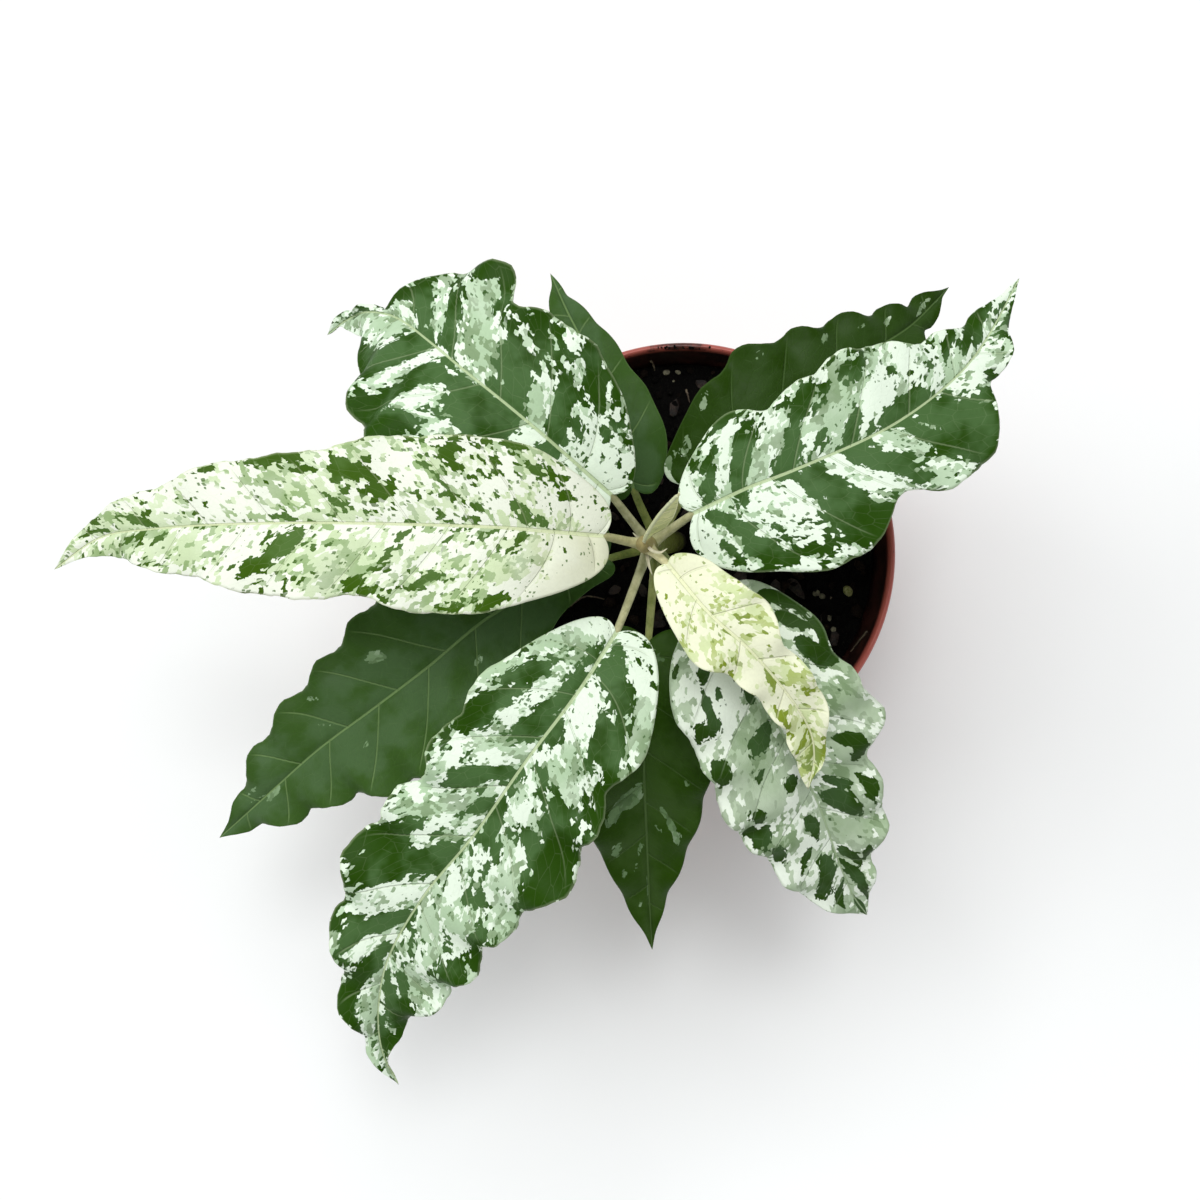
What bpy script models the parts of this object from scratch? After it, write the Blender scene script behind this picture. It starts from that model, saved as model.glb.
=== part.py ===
"""Potted variegated ficus: a thin nursery pot, its soil, one stem, ten waved leaves and a folded one.

Blender metres, +Z up. The origin is the centre of the pot's flat underside, and -Y is the side
that the picture's lower edge shows. Lengths in the tables below are in millimetres.
"""
import math
import random
from dataclasses import dataclass

import bmesh
import bpy
import numpy as np
from mathutils import Matrix, Vector
from mathutils.geometry import interpolate_bezier

MM = 0.001
NAME = "potted_ficus"
GAP = 0.3

# Pot: a common 12 cm nursery pot
RIM_R = 60.0
BASE_R = 43.0
POT_H = 105.0
WALL = 1.3
FLOOR = 2.0
LIP_H = 3.0
COLLAR_H = 17.0
COLLAR_STEP = 1.2
POT_STEPS = 44
DRAIN_HOLES = 8
DRAIN_R = 4.0
DRAIN_RING_R = 29.0
TAPER_INSET = 2.4
LIP_INSET = 1.9

# Soil
SOIL_TOP = 92.0
SOIL_RINGS = 9
SOIL_BUMP = 1.1
HOLE_FLOOR = 62.0
BITS = 26
BITS_SEED = 7

# Stem: axis points from its foot in the soil to the growing tip, with the radius at each
STEM_AXIS = ((-0.5, 4.5, 64), (-1.5, 4, 92), (-5, 3, 108), (-8, 2, 125), (-10.4, 1.3, 150), (-12.4, 1.1, 173),
             (-12.8, 1.1, 180))
STEM_SAMPLES = 16
LEAN_ROOM = 0.75
STEM_RADII = (3.0, 2.9, 2.8, 2.6, 2.4, 2.1, 1.4)
SCAR_HEIGHTS = (99, 105, 111)
STIPULES = (((-12, 0.6, 177), (-9.9, -0.9, 181), (-7.4, -0.5, 183)),
            ((-12, -0.2, 170), (-11.3, -4.2, 172), (-10.5, -6.6, 171)),
            ((-11.4, 1.6, 156), (-14.2, 3.3, 158.5), (-15.3, 4.4, 160)))

# Blades
SAMPLES = 200
BASE_CROWD = 0.7
LOBE_SPAN = 0.3
THICK = 0.7
RIB = 1.7
SIDE_CELLS = 3
ROW_PITCH = 4.1
PETIOLE_R = 1.2
PETIOLE_TIP_R = 0.7
PETIOLE_SAMPLES = 9
PETIOLE_EASE = 0.35
BLADE_EASE = 0.21
RIB_REACH = 7.0
RIB_DEPTH = 0.9


@dataclass
class Leaf:
    """One leaf. The half-widths are taken at even steps from the base to the tip."""
    name: str
    node_z: float      # height on the stem where the petiole leaves it
    midrib: tuple      # points on the midrib, base to tip
    left: tuple        # half-widths left of the midrib, seen from above looking at the tip
    right: tuple
    lobes: tuple = (7, 7)       # how far the left and right basal lobes reach back
    waves: tuple = (8, 1, 2)    # waves along the margin, their width and their height
    phase: tuple = (0, 0)       # where the waves begin, left and right, in turns
    fold: float = 8             # degrees that each half rises from the midrib
    droop: float = 0.1          # how much the margin falls again, as a part of the half-width


LEAVES = (
    Leaf("leaf_1_cream", 166,
         ((-23, 3, 181), (-37, 4, 187), (-52, 5, 190), (-87, 6, 188), (-116, 6, 180), (-138, 5, 171),
          (-153, 3, 162), (-167, -5, 152)),
         (0, 8, 14, 19, 22, 21, 18, 19, 16, 12, 8, 3, 0),
         (0, 8, 15, 21, 22, 22, 20, 17, 16, 12, 8, 4, 0),
         lobes=(6, 6), waves=(7, 0.5, 1.6), phase=(0.2, 0.6)),
    Leaf("leaf_2_upper_left", 147,
         ((-21, 14, 166), (-36, 27, 172), (-48, 37, 173), (-59, 46, 170), (-67, 53, 163), (-77, 61, 152),
          (-86, 64, 141), (-93, 63, 130), (-99, 60, 122)),
         (0, 9, 17, 23, 26, 28, 30, 29, 24.5, 17, 8, 2, 0),
         (0, 7, 14.5, 22, 25, 26, 21.5, 27, 19.5, 4, 1, 2.5, 0),
         lobes=(6, 6), waves=(7, 1.2, 2), phase=(0.1, 0.6)),
    Leaf("leaf_3_right", 160,
         ((0, 9, 174), (13, 15, 180), (26, 20, 182), (48, 30, 178), (65, 42, 169), (76, 54, 159),
          (87, 72, 148)),
         (0, 6, 13, 19, 17, 20, 22, 21, 15, 11, 7, 3.5, 0),
         (0, 10, 18, 23, 26, 26, 17, 21, 21, 9, 7, 2, 0),
         lobes=(6, 8), waves=(7, 0.8, 1.6), phase=(0.0, 0.5)),
    Leaf("leaf_4_right_dark", 135,
         ((0, 17, 153), (12, 26, 157), (24, 36, 157), (37, 45, 154), (50, 54, 148), (60, 61, 141),
          (71, 72, 131)),
         (0, 7, 12, 17, 18.5, 19.5, 17, 14.5, 12, 8.5, 6, 3.5, 0),
         (0, 9, 15, 19, 21, 21, 19, 17, 14, 10, 5, 2, 0),
         lobes=(7, 7), waves=(7, 1.1, 1.6), phase=(0.3, 0.2)),
    Leaf("leaf_5_young", 174,
         ((-7, -4, 182), (3, -16, 185), (13, -25, 184), (22, -35, 179), (29, -45, 172), (31, -53, 167),
          (30, -62, 161)),
         (0, 4, 8, 10, 11, 12, 8, 7.5, 8, 6, 3.5, 1.5, 0),
         (0, 4, 7, 9, 11, 11, 8, 7, 6.5, 6, 6, 4, 0),
         lobes=(3, 3), waves=(6, 0.5, 1.2), phase=(0.2, 0.7)),
    Leaf("leaf_6_upper_plain", 122,
         ((-15, 17, 142), (-18, 29, 146), (-23, 41, 145), (-28, 55, 140), (-33, 66, 132), (-37.5, 77, 122)),
         (0, 5, 9, 12, 13, 13, 12, 11, 9, 6, 4, 1.5, 0),
         (0, 5, 9, 11.5, 12, 11.5, 10, 8.5, 6.5, 4.8, 2.6, 1.3, 0),
         lobes=(5, 5), waves=(5, 0.3, 0.8), phase=(0.2, 0.7), fold=10),
    Leaf("leaf_7_lower_right", 141,
         ((6, -16, 160), (13, -29, 164), (21, -43, 161), (28, -56, 155), (34, -67, 147), (40, -82, 136),
          (45, -93, 127), (50, -100, 120)),
         (0, 10, 17, 22, 22, 24, 26, 18, 17, 15, 9, 6, 0),
         (0, 7.5, 16, 21.5, 22.5, 22, 23, 23, 21, 17, 14, 7, 0),
         lobes=(8, 4), waves=(7, 0.8, 1.8), phase=(0.0, 0.2)),
    Leaf("leaf_8_bottom_dark", 128,
         ((-11, -24, 147), (-12, -41, 148), (-12, -59, 140), (-11, -78, 127), (-10, -97, 114),
          (-9, -112, 105)),
         (0, 9, 14, 18, 19, 19, 17, 15, 12, 8.5, 5, 2, 0),
         (0, 9, 14, 18, 20, 20, 18, 16, 14, 10, 7, 3, 0),
         lobes=(7, 7), waves=(6, 0.4, 0.8), phase=(0.2, 0.2), fold=10),
    Leaf("leaf_9_lower_left", 153,
         ((-19.7, -21.3, 170), (-29.2, -36, 176), (-42, -53, 176), (-56, -73, 169), (-69, -89, 161),
          (-79, -106, 151), (-83, -121, 141), (-83, -135, 132), (-79, -146, 125)),
         (0, 9, 17, 23, 22, 26, 26, 22, 21.5, 18.5, 12.5, 2, 0),
         (0, 7, 14, 20, 22, 21, 21, 23, 20, 14, 9, 4, 0),
         lobes=(8, 6), waves=(8, 1.8, 3), phase=(0.1, 0.5)),
    Leaf("leaf_10_left_dark", 116,
         ((-22, -2, 137), (-38, -9, 143), (-54, -18, 144), (-70, -31, 140), (-86, -43, 134),
          (-101, -54, 127), (-116, -67, 119), (-131, -80, 108)),
         (0, 4.4, 6, 10, 17, 22, 24, 24, 21, 15, 11, 5, 0),
         (0, 9, 15, 20, 24, 24, 23, 20, 17, 14, 10, 4, 0),
         lobes=(5, 8), waves=(9, 1.2, 2), phase=(0.5, 0.18)),
)
SPEAR = Leaf("spear_folded_leaf", 180,
             ((-12.9, 1.2, 180.7), (-12.5, 2.5, 185.5), (-10.9, 5.4, 192), (-8.3, 8.9, 199.5), (-4.9, 12.4, 207)),
             (0, 0.4, 0.6, 0.6, 0.6, 0.6, 0.5, 0.3, 0),
             (0, 3.1, 3.6, 3.5, 3.3, 2.8, 2.0, 1.0, 0),
             lobes=(0, 0), waves=(1, 0, 0), fold=-52)


def catmull(values, u):
    """Values at parameters u on a smooth curve through evenly numbered points."""
    points = np.asarray(values, float).reshape(len(values), -1)
    points = np.vstack([2 * points[0] - points[1], points, 2 * points[-1] - points[-2]])
    k = np.clip(np.floor(u).astype(int), 0, len(points) - 4)
    w = (u - k)[:, None]
    a, b, c, d = points[k], points[k + 1], points[k + 2], points[k + 3]
    linear = (c - a) * w
    square = (2 * a - 5 * b + 4 * c - d) * w ** 2
    cube = (3 * b - a - 3 * c + d) * w ** 3
    return 0.5 * (2 * b + linear + square + cube)


def even_path(points):
    """A smooth path through the points, resampled at even arc length, and its length."""
    curve = catmull(points, np.linspace(0, len(points) - 1, SAMPLES))
    run = np.concatenate([[0], np.cumsum(np.linalg.norm(np.diff(curve, axis=0), axis=1))])
    even = np.linspace(0, run[-1], SAMPLES)
    path = np.stack([np.interp(even, run, curve[:, i]) for i in range(3)], axis=1)
    return path, run[-1]


def unit(vectors):
    return vectors / np.linalg.norm(vectors, axis=-1, keepdims=True)


def along(rows, s):
    """Rows of a table interpolated at fractions s of its length."""
    grid = np.linspace(0, 1, len(rows))
    return np.stack([np.interp(s, grid, rows[:, i]) for i in range(3)], axis=-1)


def leaf_frame(leaf, s):
    """Midrib points with forward, left and up directions at fractions s of the midrib."""
    path, length = even_path(leaf.midrib)
    forward = unit(np.gradient(path, axis=0))
    left = unit(np.cross((0.0, 0.0, 1.0), forward))
    up = np.cross(forward, left)
    return along(path, s), along(forward, s), along(left, s), along(up, s), length


def blade_points(leaf, rows, columns):
    """The blade's upper face as a grid. Rows run 0..1 base to tip, columns -1..1 right to left.

    A row is a straight line from the midrib to the margin. Near the base its outer end lags
    behind, which makes the basal lobes, and the rows crowd together there.
    """
    s = rows - BASE_CROWD * rows * (1 - rows) ** 2
    mid, forward, left, up, _ = leaf_frame(leaf, s)
    x = np.clip(rows / LOBE_SPAN, 0, 1)
    lag = 6.75 * x * (1 - x) ** 2
    calm = np.clip((s - 0.1) / 0.2, 0, 1) * np.clip((1 - s) / 0.15, 0, 1)
    count, width, height = leaf.waves
    rise = math.tan(math.radians(leaf.fold))
    grid = np.zeros((len(rows), len(columns), 3))
    for j, column in enumerate(columns):
        side, reach = (1, column) if column > 0 else (-1, -column)
        half, lobe, phase = (leaf.left, leaf.lobes[0], leaf.phase[0]) if side > 0 else \
            (leaf.right, leaf.lobes[1], leaf.phase[1])
        turn = 2 * math.pi * (count * s - phase)
        out = np.maximum(catmull(half, rows * (len(half) - 1))[:, 0], 0)
        out = (out + width * calm * np.cos(turn)) * reach
        lift = out * rise - leaf.droop * out * reach + height * reach ** 2 * calm * np.sin(turn)
        grid[:, j] = (mid - forward * (lobe * lag * reach)[:, None]
                      + left * (side * out)[:, None] + up * lift[:, None])
    return grid


def stem_path():
    """The stem's axis and radii, sampled as its tube is built."""
    u = np.linspace(0, len(STEM_AXIS) - 1, STEM_SAMPLES)
    return catmull(STEM_AXIS, u), np.interp(u, range(len(STEM_RADII)), STEM_RADII)


def stem_at(z):
    """Centre and radius of the stem at a height."""
    axis, radii = stem_path()
    centre = np.array([np.interp(z, axis[:, 2], axis[:, i]) for i in range(2)] + [z])
    return centre, float(np.interp(z, axis[:, 2], radii))


def petiole_points(leaf):
    """The petiole's path: a Bezier off the stem to the blade, nearly straight, then under the midrib."""
    _, length = even_path(leaf.midrib)
    mid, forward, _, up, _ = leaf_frame(leaf, np.array([0.0, RIB_REACH / length]))
    centre, radius = stem_at(leaf.node_z)
    away = mid[0] - centre
    away[2] = 0
    out = unit(away)
    start = centre + out * (radius + GAP + LEAN_ROOM)
    end = mid[0] - up[0] * RIB_DEPTH
    reach = np.linalg.norm(end - start)
    leave = unit(out + np.array((0.0, 0.0, 0.5)))
    arrive = unit(forward[0] + 2 * (end - start) / reach)
    bend = interpolate_bezier(Vector(start), Vector(start + leave * PETIOLE_EASE * reach),
                              Vector(end - arrive * BLADE_EASE * reach), Vector(end), PETIOLE_SAMPLES)
    return bend + [Vector(mid[1] - up[1] * RIB_DEPTH)]


def new_collection(name):
    collection = bpy.data.collections.new(name)
    bpy.context.scene.collection.children.link(collection)
    return collection


def material(name, colour, roughness, metallic=0.0):
    """A plain Principled material in linear colour."""
    made = bpy.data.materials.new(name)
    made.use_nodes = True
    shader = made.node_tree.nodes["Principled BSDF"]
    shader.inputs["Base Color"].default_value = (*colour, 1)
    shader.inputs["Roughness"].default_value = roughness
    shader.inputs["Metallic"].default_value = metallic
    made.diffuse_color = (*colour, 1)
    return made


def add_object(name, mesh, collection, look=None):
    made = bpy.data.objects.new(name, mesh)
    collection.objects.link(made)
    if look:
        mesh.materials.append(look)
    return made


def make_cutter(cutter):
    cutter.hide_render = True
    cutter.display_type = "WIRE"
    return cutter


def turned(name, profile, steps, collection, look=None):
    """A profile of (radius, height) points turned about Z, running down its outer side."""
    work = bmesh.new()
    points = [work.verts.new((r * MM, 0, z * MM)) for r, z in profile]
    for first, second in zip(points, points[1:]):
        work.edges.new((first, second))
    mesh = bpy.data.meshes.new(name)
    work.to_mesh(mesh)
    work.free()
    made = add_object(name, mesh, collection, look)
    screw = made.modifiers.new("turn", "SCREW")
    screw.steps = steps
    screw.render_steps = steps
    screw.use_merge_vertices = True
    screw.merge_threshold = 0.0001
    screw.use_normal_calculate = False
    return made


def tube_mesh(name, points, radii, resolution=2):
    """A closed tube through the points: a curve with a bevel, turned into a mesh."""
    curve = bpy.data.curves.new(name, "CURVE")
    curve.dimensions = "3D"
    curve.bevel_depth = MM
    curve.bevel_resolution = resolution
    curve.use_fill_caps = True
    line = curve.splines.new("POLY")
    line.points.add(len(points) - 1)
    for spot, place, radius in zip(line.points, points, radii):
        spot.co = (*(Vector(place) * MM), 1)
        spot.radius = radius
    guide = bpy.data.objects.new(name, curve)
    bpy.context.scene.collection.objects.link(guide)
    depsgraph = bpy.context.evaluated_depsgraph_get()
    mesh = bpy.data.meshes.new_from_object(guide.evaluated_get(depsgraph))
    bpy.data.objects.remove(guide)
    work = bmesh.new()
    work.from_mesh(mesh)
    bmesh.ops.remove_doubles(work, verts=work.verts, dist=1e-6)
    bmesh.ops.recalc_face_normals(work, faces=work.faces)
    work.to_mesh(mesh)
    work.free()
    return mesh


def smooth_tube(name, points, radii, count):
    """A tube along the smooth curve through a few points, with its radius eased between them."""
    u = np.linspace(0, len(points) - 1, count)
    path = catmull(points, u)
    eased = np.interp(u, range(len(radii)), radii)
    return tube_mesh(name, path, eased)


def boolean(target, operation, cutter=None, collection=None):
    """A Boolean on a target, with one object or with a whole collection."""
    step = target.modifiers.new(operation.lower(), "BOOLEAN")
    step.operation = operation
    step.solver = "EXACT"
    if collection:
        step.operand_type = "COLLECTION"
        step.collection = collection
    else:
        step.object = cutter
    return step


def bake(target):
    """Replace an object's mesh by its evaluated mesh and drop its modifiers."""
    depsgraph = bpy.context.evaluated_depsgraph_get()
    mesh = bpy.data.meshes.new_from_object(target.evaluated_get(depsgraph))
    target.modifiers.clear()
    target.data = mesh
    return target


def fuse(target, repeats):
    """Union an object with all the objects of a collection, then drop the collection."""
    boolean(target, "UNION", collection=repeats)
    bake(target)
    for extra in list(repeats.objects):
        bpy.data.objects.remove(extra)
    bpy.data.collections.remove(repeats)
    return target


def wall_radius(z):
    """The pot's inner radius at a height, below the collar's step."""
    return BASE_R - WALL + (RIM_R - TAPER_INSET - BASE_R) * z / POT_H


def pot_profile():
    """Inside floor, inner wall, lip, collar, step, outer wall and underside of the pot."""
    step_z = POT_H - LIP_H - COLLAR_H
    collar_r = wall_radius(step_z) + WALL + COLLAR_STEP
    lip_in = RIM_R - LIP_INSET
    return ((0, FLOOR), (wall_radius(FLOOR) - 1.5, FLOOR), (wall_radius(FLOOR), FLOOR + 1.5),
            (wall_radius(step_z - 1), step_z - 1), (collar_r - WALL, step_z + 1),
            (lip_in - 0.4, POT_H - LIP_H), (lip_in, POT_H - 0.9), (lip_in + 0.5, POT_H - 0.1),
            (RIM_R - 0.9, POT_H), (RIM_R - 0.3, POT_H - 0.5), (RIM_R, POT_H - 1.5),
            (RIM_R - 0.5, POT_H - LIP_H), (RIM_R - 1.2, POT_H - LIP_H - 0.4),
            (collar_r, step_z), (wall_radius(step_z) + WALL, step_z - 1.2),
            (BASE_R + 0.4, 2.2), (BASE_R - 0.4, 0.7), (BASE_R - 1.5, 0), (0, 0))


def build_pot(parts):
    pot = turned("pot", pot_profile(), POT_STEPS, parts, material("pot_plastic", (0.38, 0.07, 0.05), 0.42))
    bake(pot)
    drains = new_collection("drain_cutters")
    for i in range(DRAIN_HOLES):
        angle = 2 * math.pi * (i + 0.5) / DRAIN_HOLES
        work = bmesh.new()
        bmesh.ops.create_cone(work, cap_ends=True, segments=16, radius1=DRAIN_R * MM, radius2=DRAIN_R * MM,
                              depth=4 * FLOOR * MM)
        centre = Vector((math.cos(angle), math.sin(angle), 0)) * DRAIN_RING_R * MM
        bmesh.ops.translate(work, verts=work.verts, vec=centre)
        mesh = bpy.data.meshes.new("drain")
        work.to_mesh(mesh)
        work.free()
        make_cutter(add_object(f"drain_cutter_{i}", mesh, drains))
    boolean(pot, "DIFFERENCE", collection=drains)
    bake(pot)
    for cutter in list(drains.objects):
        bpy.data.objects.remove(cutter)
    bpy.data.collections.remove(drains)
    pot.data.shade_smooth()
    pot.data.set_sharp_from_angle(angle=math.radians(35))
    return pot


def soil_height(x, y):
    """Bumps of the soil's surface, in millimetres above its mean level."""
    coarse = math.sin(0.21 * x + 1.3) * math.cos(0.17 * y - 0.4)
    fine = math.sin(0.47 * x - 0.29 * y) * math.cos(0.39 * y + 0.23 * x)
    return SOIL_BUMP * (coarse + 0.6 * fine)


def build_soil(parts):
    """The potting mix as one body: a turned core with a bumpy top, bits fused in, a stem hole."""
    top_r = wall_radius(POT_H - LIP_H - COLLAR_H) - GAP
    ring = [(top_r * i / SOIL_RINGS, SOIL_TOP) for i in range(SOIL_RINGS + 1)]
    low = FLOOR + GAP
    side = [(wall_radius(50) - GAP, 50), (wall_radius(low + 1.6) - GAP, low + 1.6),
            (wall_radius(low) - 1.8, low), (0, low)]
    soil = turned("soil", ring + side, POT_STEPS, parts, material("potting_mix", (0.012, 0.009, 0.006), 0.95))
    bake(soil)
    for vertex in soil.data.vertices:
        x, y, z = vertex.co / MM
        if z > SOIL_TOP - 1:
            vertex.co.z += soil_height(x, y) * MM
    bits = new_collection("soil_bits")
    draw = random.Random(BITS_SEED)
    for i in range(BITS):
        add_bit(i, draw, top_r, bits)
    fuse(soil, bits)
    bore = make_cutter(stem_bore())
    boolean(soil, "DIFFERENCE", cutter=bore)
    bake(soil)
    bpy.data.objects.remove(bore)
    return soil


def add_bit(index, draw, top_r, bits):
    """One prill, chip or crumb, sunk about half way into the soil's surface."""
    reach = top_r * math.sqrt(draw.uniform(0.05, 0.82))
    angle = draw.uniform(0, 2 * math.pi)
    size = draw.uniform(1.3, 2.6)
    x, y = reach * math.cos(angle), reach * math.sin(angle)
    work = bmesh.new()
    bmesh.ops.create_icosphere(work, subdivisions=1, radius=size * MM)
    bmesh.ops.scale(work, verts=work.verts, vec=(draw.uniform(0.8, 1.5), draw.uniform(0.8, 1.2), 0.8))
    turn = Matrix.Rotation(draw.uniform(0, math.pi), 3, "Z")
    bmesh.ops.rotate(work, verts=work.verts, cent=(0, 0, 0), matrix=turn)
    place = Vector((x, y, SOIL_TOP + soil_height(x, y) + 0.1 * size)) * MM
    bmesh.ops.translate(work, verts=work.verts, vec=place)
    mesh = bpy.data.meshes.new("bit")
    work.to_mesh(mesh)
    work.free()
    add_object(f"bit_{index}", mesh, bits)


def stem_bore():
    """The plain hole in the soil round the stem's foot, as a cutter along its axis."""
    foot, waist = Vector(STEM_AXIS[0]), Vector(STEM_AXIS[1])
    down = (foot - waist).normalized()
    points = (foot + down * (foot.z - HOLE_FLOOR), waist, waist - down * 12)
    radius = STEM_RADII[0] + GAP + 0.15
    mesh = tube_mesh("stem_bore", points, (radius, radius, radius + 1.2), resolution=4)
    return add_object("stem_bore", mesh, bpy.context.scene.collection)


def build_stem(parts):
    """The woody stem with its leaf scars and the stipules at the growing tip."""
    mesh = tube_mesh("stem", *stem_path())
    stem = add_object("stem", mesh, parts, material("stem_bark", (0.14, 0.16, 0.05), 0.6))
    extras = new_collection("stem_extras")
    for z in SCAR_HEIGHTS:
        (low, radius), (high, _) = stem_at(z - 0.5), stem_at(z + 0.5)
        scar = tube_mesh("scar", (low, high), (radius + 0.5, radius + 0.4))
        add_object(f"scar_{z}", scar, extras)
    for i, points in enumerate(STIPULES):
        add_object(f"stipule_{i}", smooth_tube("stipule", points, (0.65, 0.45, 0.3), 6), extras)
    return fuse(stem, extras)


def blade_object(leaf, parts, look):
    """The blade: a bent grid, thickened downwards, with a thicker strip along the midrib."""
    _, length = even_path(leaf.midrib)
    row_cells = round(length / ROW_PITCH)
    rows = np.linspace(0, 1, row_cells + 1)
    columns = np.linspace(-1, 1, 2 * SIDE_CELLS + 1)
    grid = blade_points(leaf, rows, columns)
    work = bmesh.new()
    bmesh.ops.create_grid(work, x_segments=row_cells, y_segments=2 * SIDE_CELLS, size=1)
    work.verts.ensure_lookup_table()
    thickness = work.verts.layers.deform.verify()
    for vertex in work.verts:
        i = round((vertex.co.x + 1) / 2 * row_cells)
        j = round((vertex.co.y + 1) / 2 * 2 * SIDE_CELLS)
        vertex.co = Vector(grid[i, j]) * MM
        vertex[thickness][0] = 1.0 if j == SIDE_CELLS else THICK / RIB
    bmesh.ops.remove_doubles(work, verts=work.verts, dist=1e-5)
    bmesh.ops.triangulate(work, faces=work.faces)
    mesh = bpy.data.meshes.new(leaf.name)
    work.to_mesh(mesh)
    work.free()
    blade = add_object(leaf.name, mesh, parts, look)
    blade.vertex_groups.new(name="thickness")
    shell = blade.modifiers.new("thickness", "SOLIDIFY")
    shell.thickness = RIB * MM
    shell.offset = -1
    shell.vertex_group = "thickness"
    return bake(blade)


def build_leaf(leaf, parts, colour):
    """One leaf: its blade fused with its petiole."""
    look = material(f"{leaf.name}_green", colour, 0.4)
    blade = blade_object(leaf, parts, look)
    points = petiole_points(leaf)
    radii = np.linspace(PETIOLE_R, PETIOLE_TIP_R, len(points))
    repeats = new_collection("petiole_of_leaf")
    add_object("petiole", tube_mesh("petiole", points, radii), repeats)
    return fuse(blade, repeats)


def build_spear(parts):
    """The youngest leaf, still folded round its midrib, on the growing tip."""
    look = material("spear_green", (0.55, 0.6, 0.3), 0.45)
    return blade_object(SPEAR, parts, look)


def main():
    for old in list(bpy.data.objects):
        bpy.data.objects.remove(old)
    parts = new_collection(NAME)
    build_pot(parts)
    build_soil(parts)
    build_stem(parts)
    greens = {True: (0.04, 0.11, 0.025), False: (0.42, 0.58, 0.3)}
    for leaf in LEAVES:
        dark = "dark" in leaf.name or "plain" in leaf.name
        build_leaf(leaf, parts, greens[dark])
    build_spear(parts)


main()
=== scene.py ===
"""Potted variegated ficus: fine leaves, stem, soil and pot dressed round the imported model.

Blender metres, +Z up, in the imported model's own frame. Lengths in the tables are in millimetres.
The leaf table repeats the part's own values, so each fine leaf lies on its packed one.
"""

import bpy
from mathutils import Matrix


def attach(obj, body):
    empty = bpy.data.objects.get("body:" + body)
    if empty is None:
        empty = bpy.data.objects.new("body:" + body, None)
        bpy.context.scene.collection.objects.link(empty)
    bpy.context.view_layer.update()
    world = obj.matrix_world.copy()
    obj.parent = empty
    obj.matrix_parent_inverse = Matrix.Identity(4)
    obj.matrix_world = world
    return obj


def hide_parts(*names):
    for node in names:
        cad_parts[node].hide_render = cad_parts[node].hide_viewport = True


bl_info = {
    "name": "Potted variegated ficus",
    "version": (1, 0, 0),
    "blender": (4, 5, 0),
    "location": "3D View > Sidebar > Ficus",
    "description": "Builds the leaves, stem, soil and pot of a young variegated ficus",
    "category": "Add Mesh",
}

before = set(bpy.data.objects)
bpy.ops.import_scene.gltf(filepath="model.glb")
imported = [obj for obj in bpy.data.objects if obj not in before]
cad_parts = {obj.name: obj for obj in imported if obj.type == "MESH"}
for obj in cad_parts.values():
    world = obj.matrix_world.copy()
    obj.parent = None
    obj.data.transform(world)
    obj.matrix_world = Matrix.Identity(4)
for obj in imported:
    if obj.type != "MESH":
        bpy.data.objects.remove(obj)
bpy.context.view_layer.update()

import math
import random
from dataclasses import dataclass

import bmesh
import bpy
import numpy as np
from bpy.props import FloatProperty, FloatVectorProperty, IntProperty, PointerProperty
from mathutils import Matrix, Vector, noise
from mathutils.geometry import interpolate_bezier

MM = 0.001
BODY = "root"

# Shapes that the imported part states, in millimetres
GAP = 0.3
RIM_R = 60.0
BASE_R = 43.0
POT_H = 105.0
WALL = 1.3
FLOOR = 2.0
LIP_H = 3.0
COLLAR_H = 17.0
COLLAR_STEP = 1.2
DRAIN_HOLES = 8
DRAIN_R = 4.0
DRAIN_RING_R = 29.0
TAPER_INSET = 2.4
LIP_INSET = 1.9
SOIL_TOP = 92.0
SOIL_BUMP = 1.1
STEM_AXIS = ((-0.5, 4.5, 64), (-1.5, 4, 92), (-5, 3, 108), (-8, 2, 125), (-10.4, 1.3, 150),
             (-12.4, 1.1, 173), (-12.8, 1.1, 180))
STEM_RADII = (3.0, 2.9, 2.8, 2.6, 2.4, 2.1, 1.4)
STEM_SAMPLES = 16
SAMPLES = 240
BASE_CROWD = 0.7
LOBE_SPAN = 0.3
LOBE_LAG = 6.75
PETIOLE_EASE = 0.35
BLADE_EASE = 0.21

# Waves of a blade: the shares of its length over which they fade, and small ripples
# (height, pace, shift) that set in from a wave height on
CALM_START = 0.1
CALM_BASE = 0.2
CALM_TIP = 0.15
RIPPLES = ((0.3, 0.8, 2), (0.15, 1.7, 1))
RIPPLE_FROM = 0.8
RIPPLE_SPAN = 1.5

# Fine outline of the pot, and the angles over which its edges are rounded or shaded sharp
LIP_STEP = 1.2
BEADS = (12.6, 10.4)
BEAD_HALF = 0.5
BEAD_OUT = 0.3
DRAIN_SEGMENTS = 40
SHARP_ANGLE = math.radians(28)
SMOOTH_ANGLE = math.radians(40)

# Veins and relief of a blade, in millimetres
VEIN_PITCH = 15.0
VEIN_SLOPE = 0.62
VEIN_CURVE = 0.006
SIDE_SHIFT = 0.31
BLADE_THICK = 0.42
RIB_GROOVE = 0.32
RIB_WIDTH = 0.9
VEIN_GROOVE = 0.26
VEIN_WIDTH = 0.75
VEIN_START = 1.5
QUILT = 0.5
QUILT_POWER = 0.8
RELIEF_TIP = 0.12
RELIEF_BASE = 0.06
RELIEF_MARGIN = 0.25
RELIEF_LENGTH = 90

# Strokes: how they lean to the tip with the distance from the midrib, and how they fall off
STROKE_LEAN = 11
STROKE_FALL = 0.9
STROKE_POWER = 1.4

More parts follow.
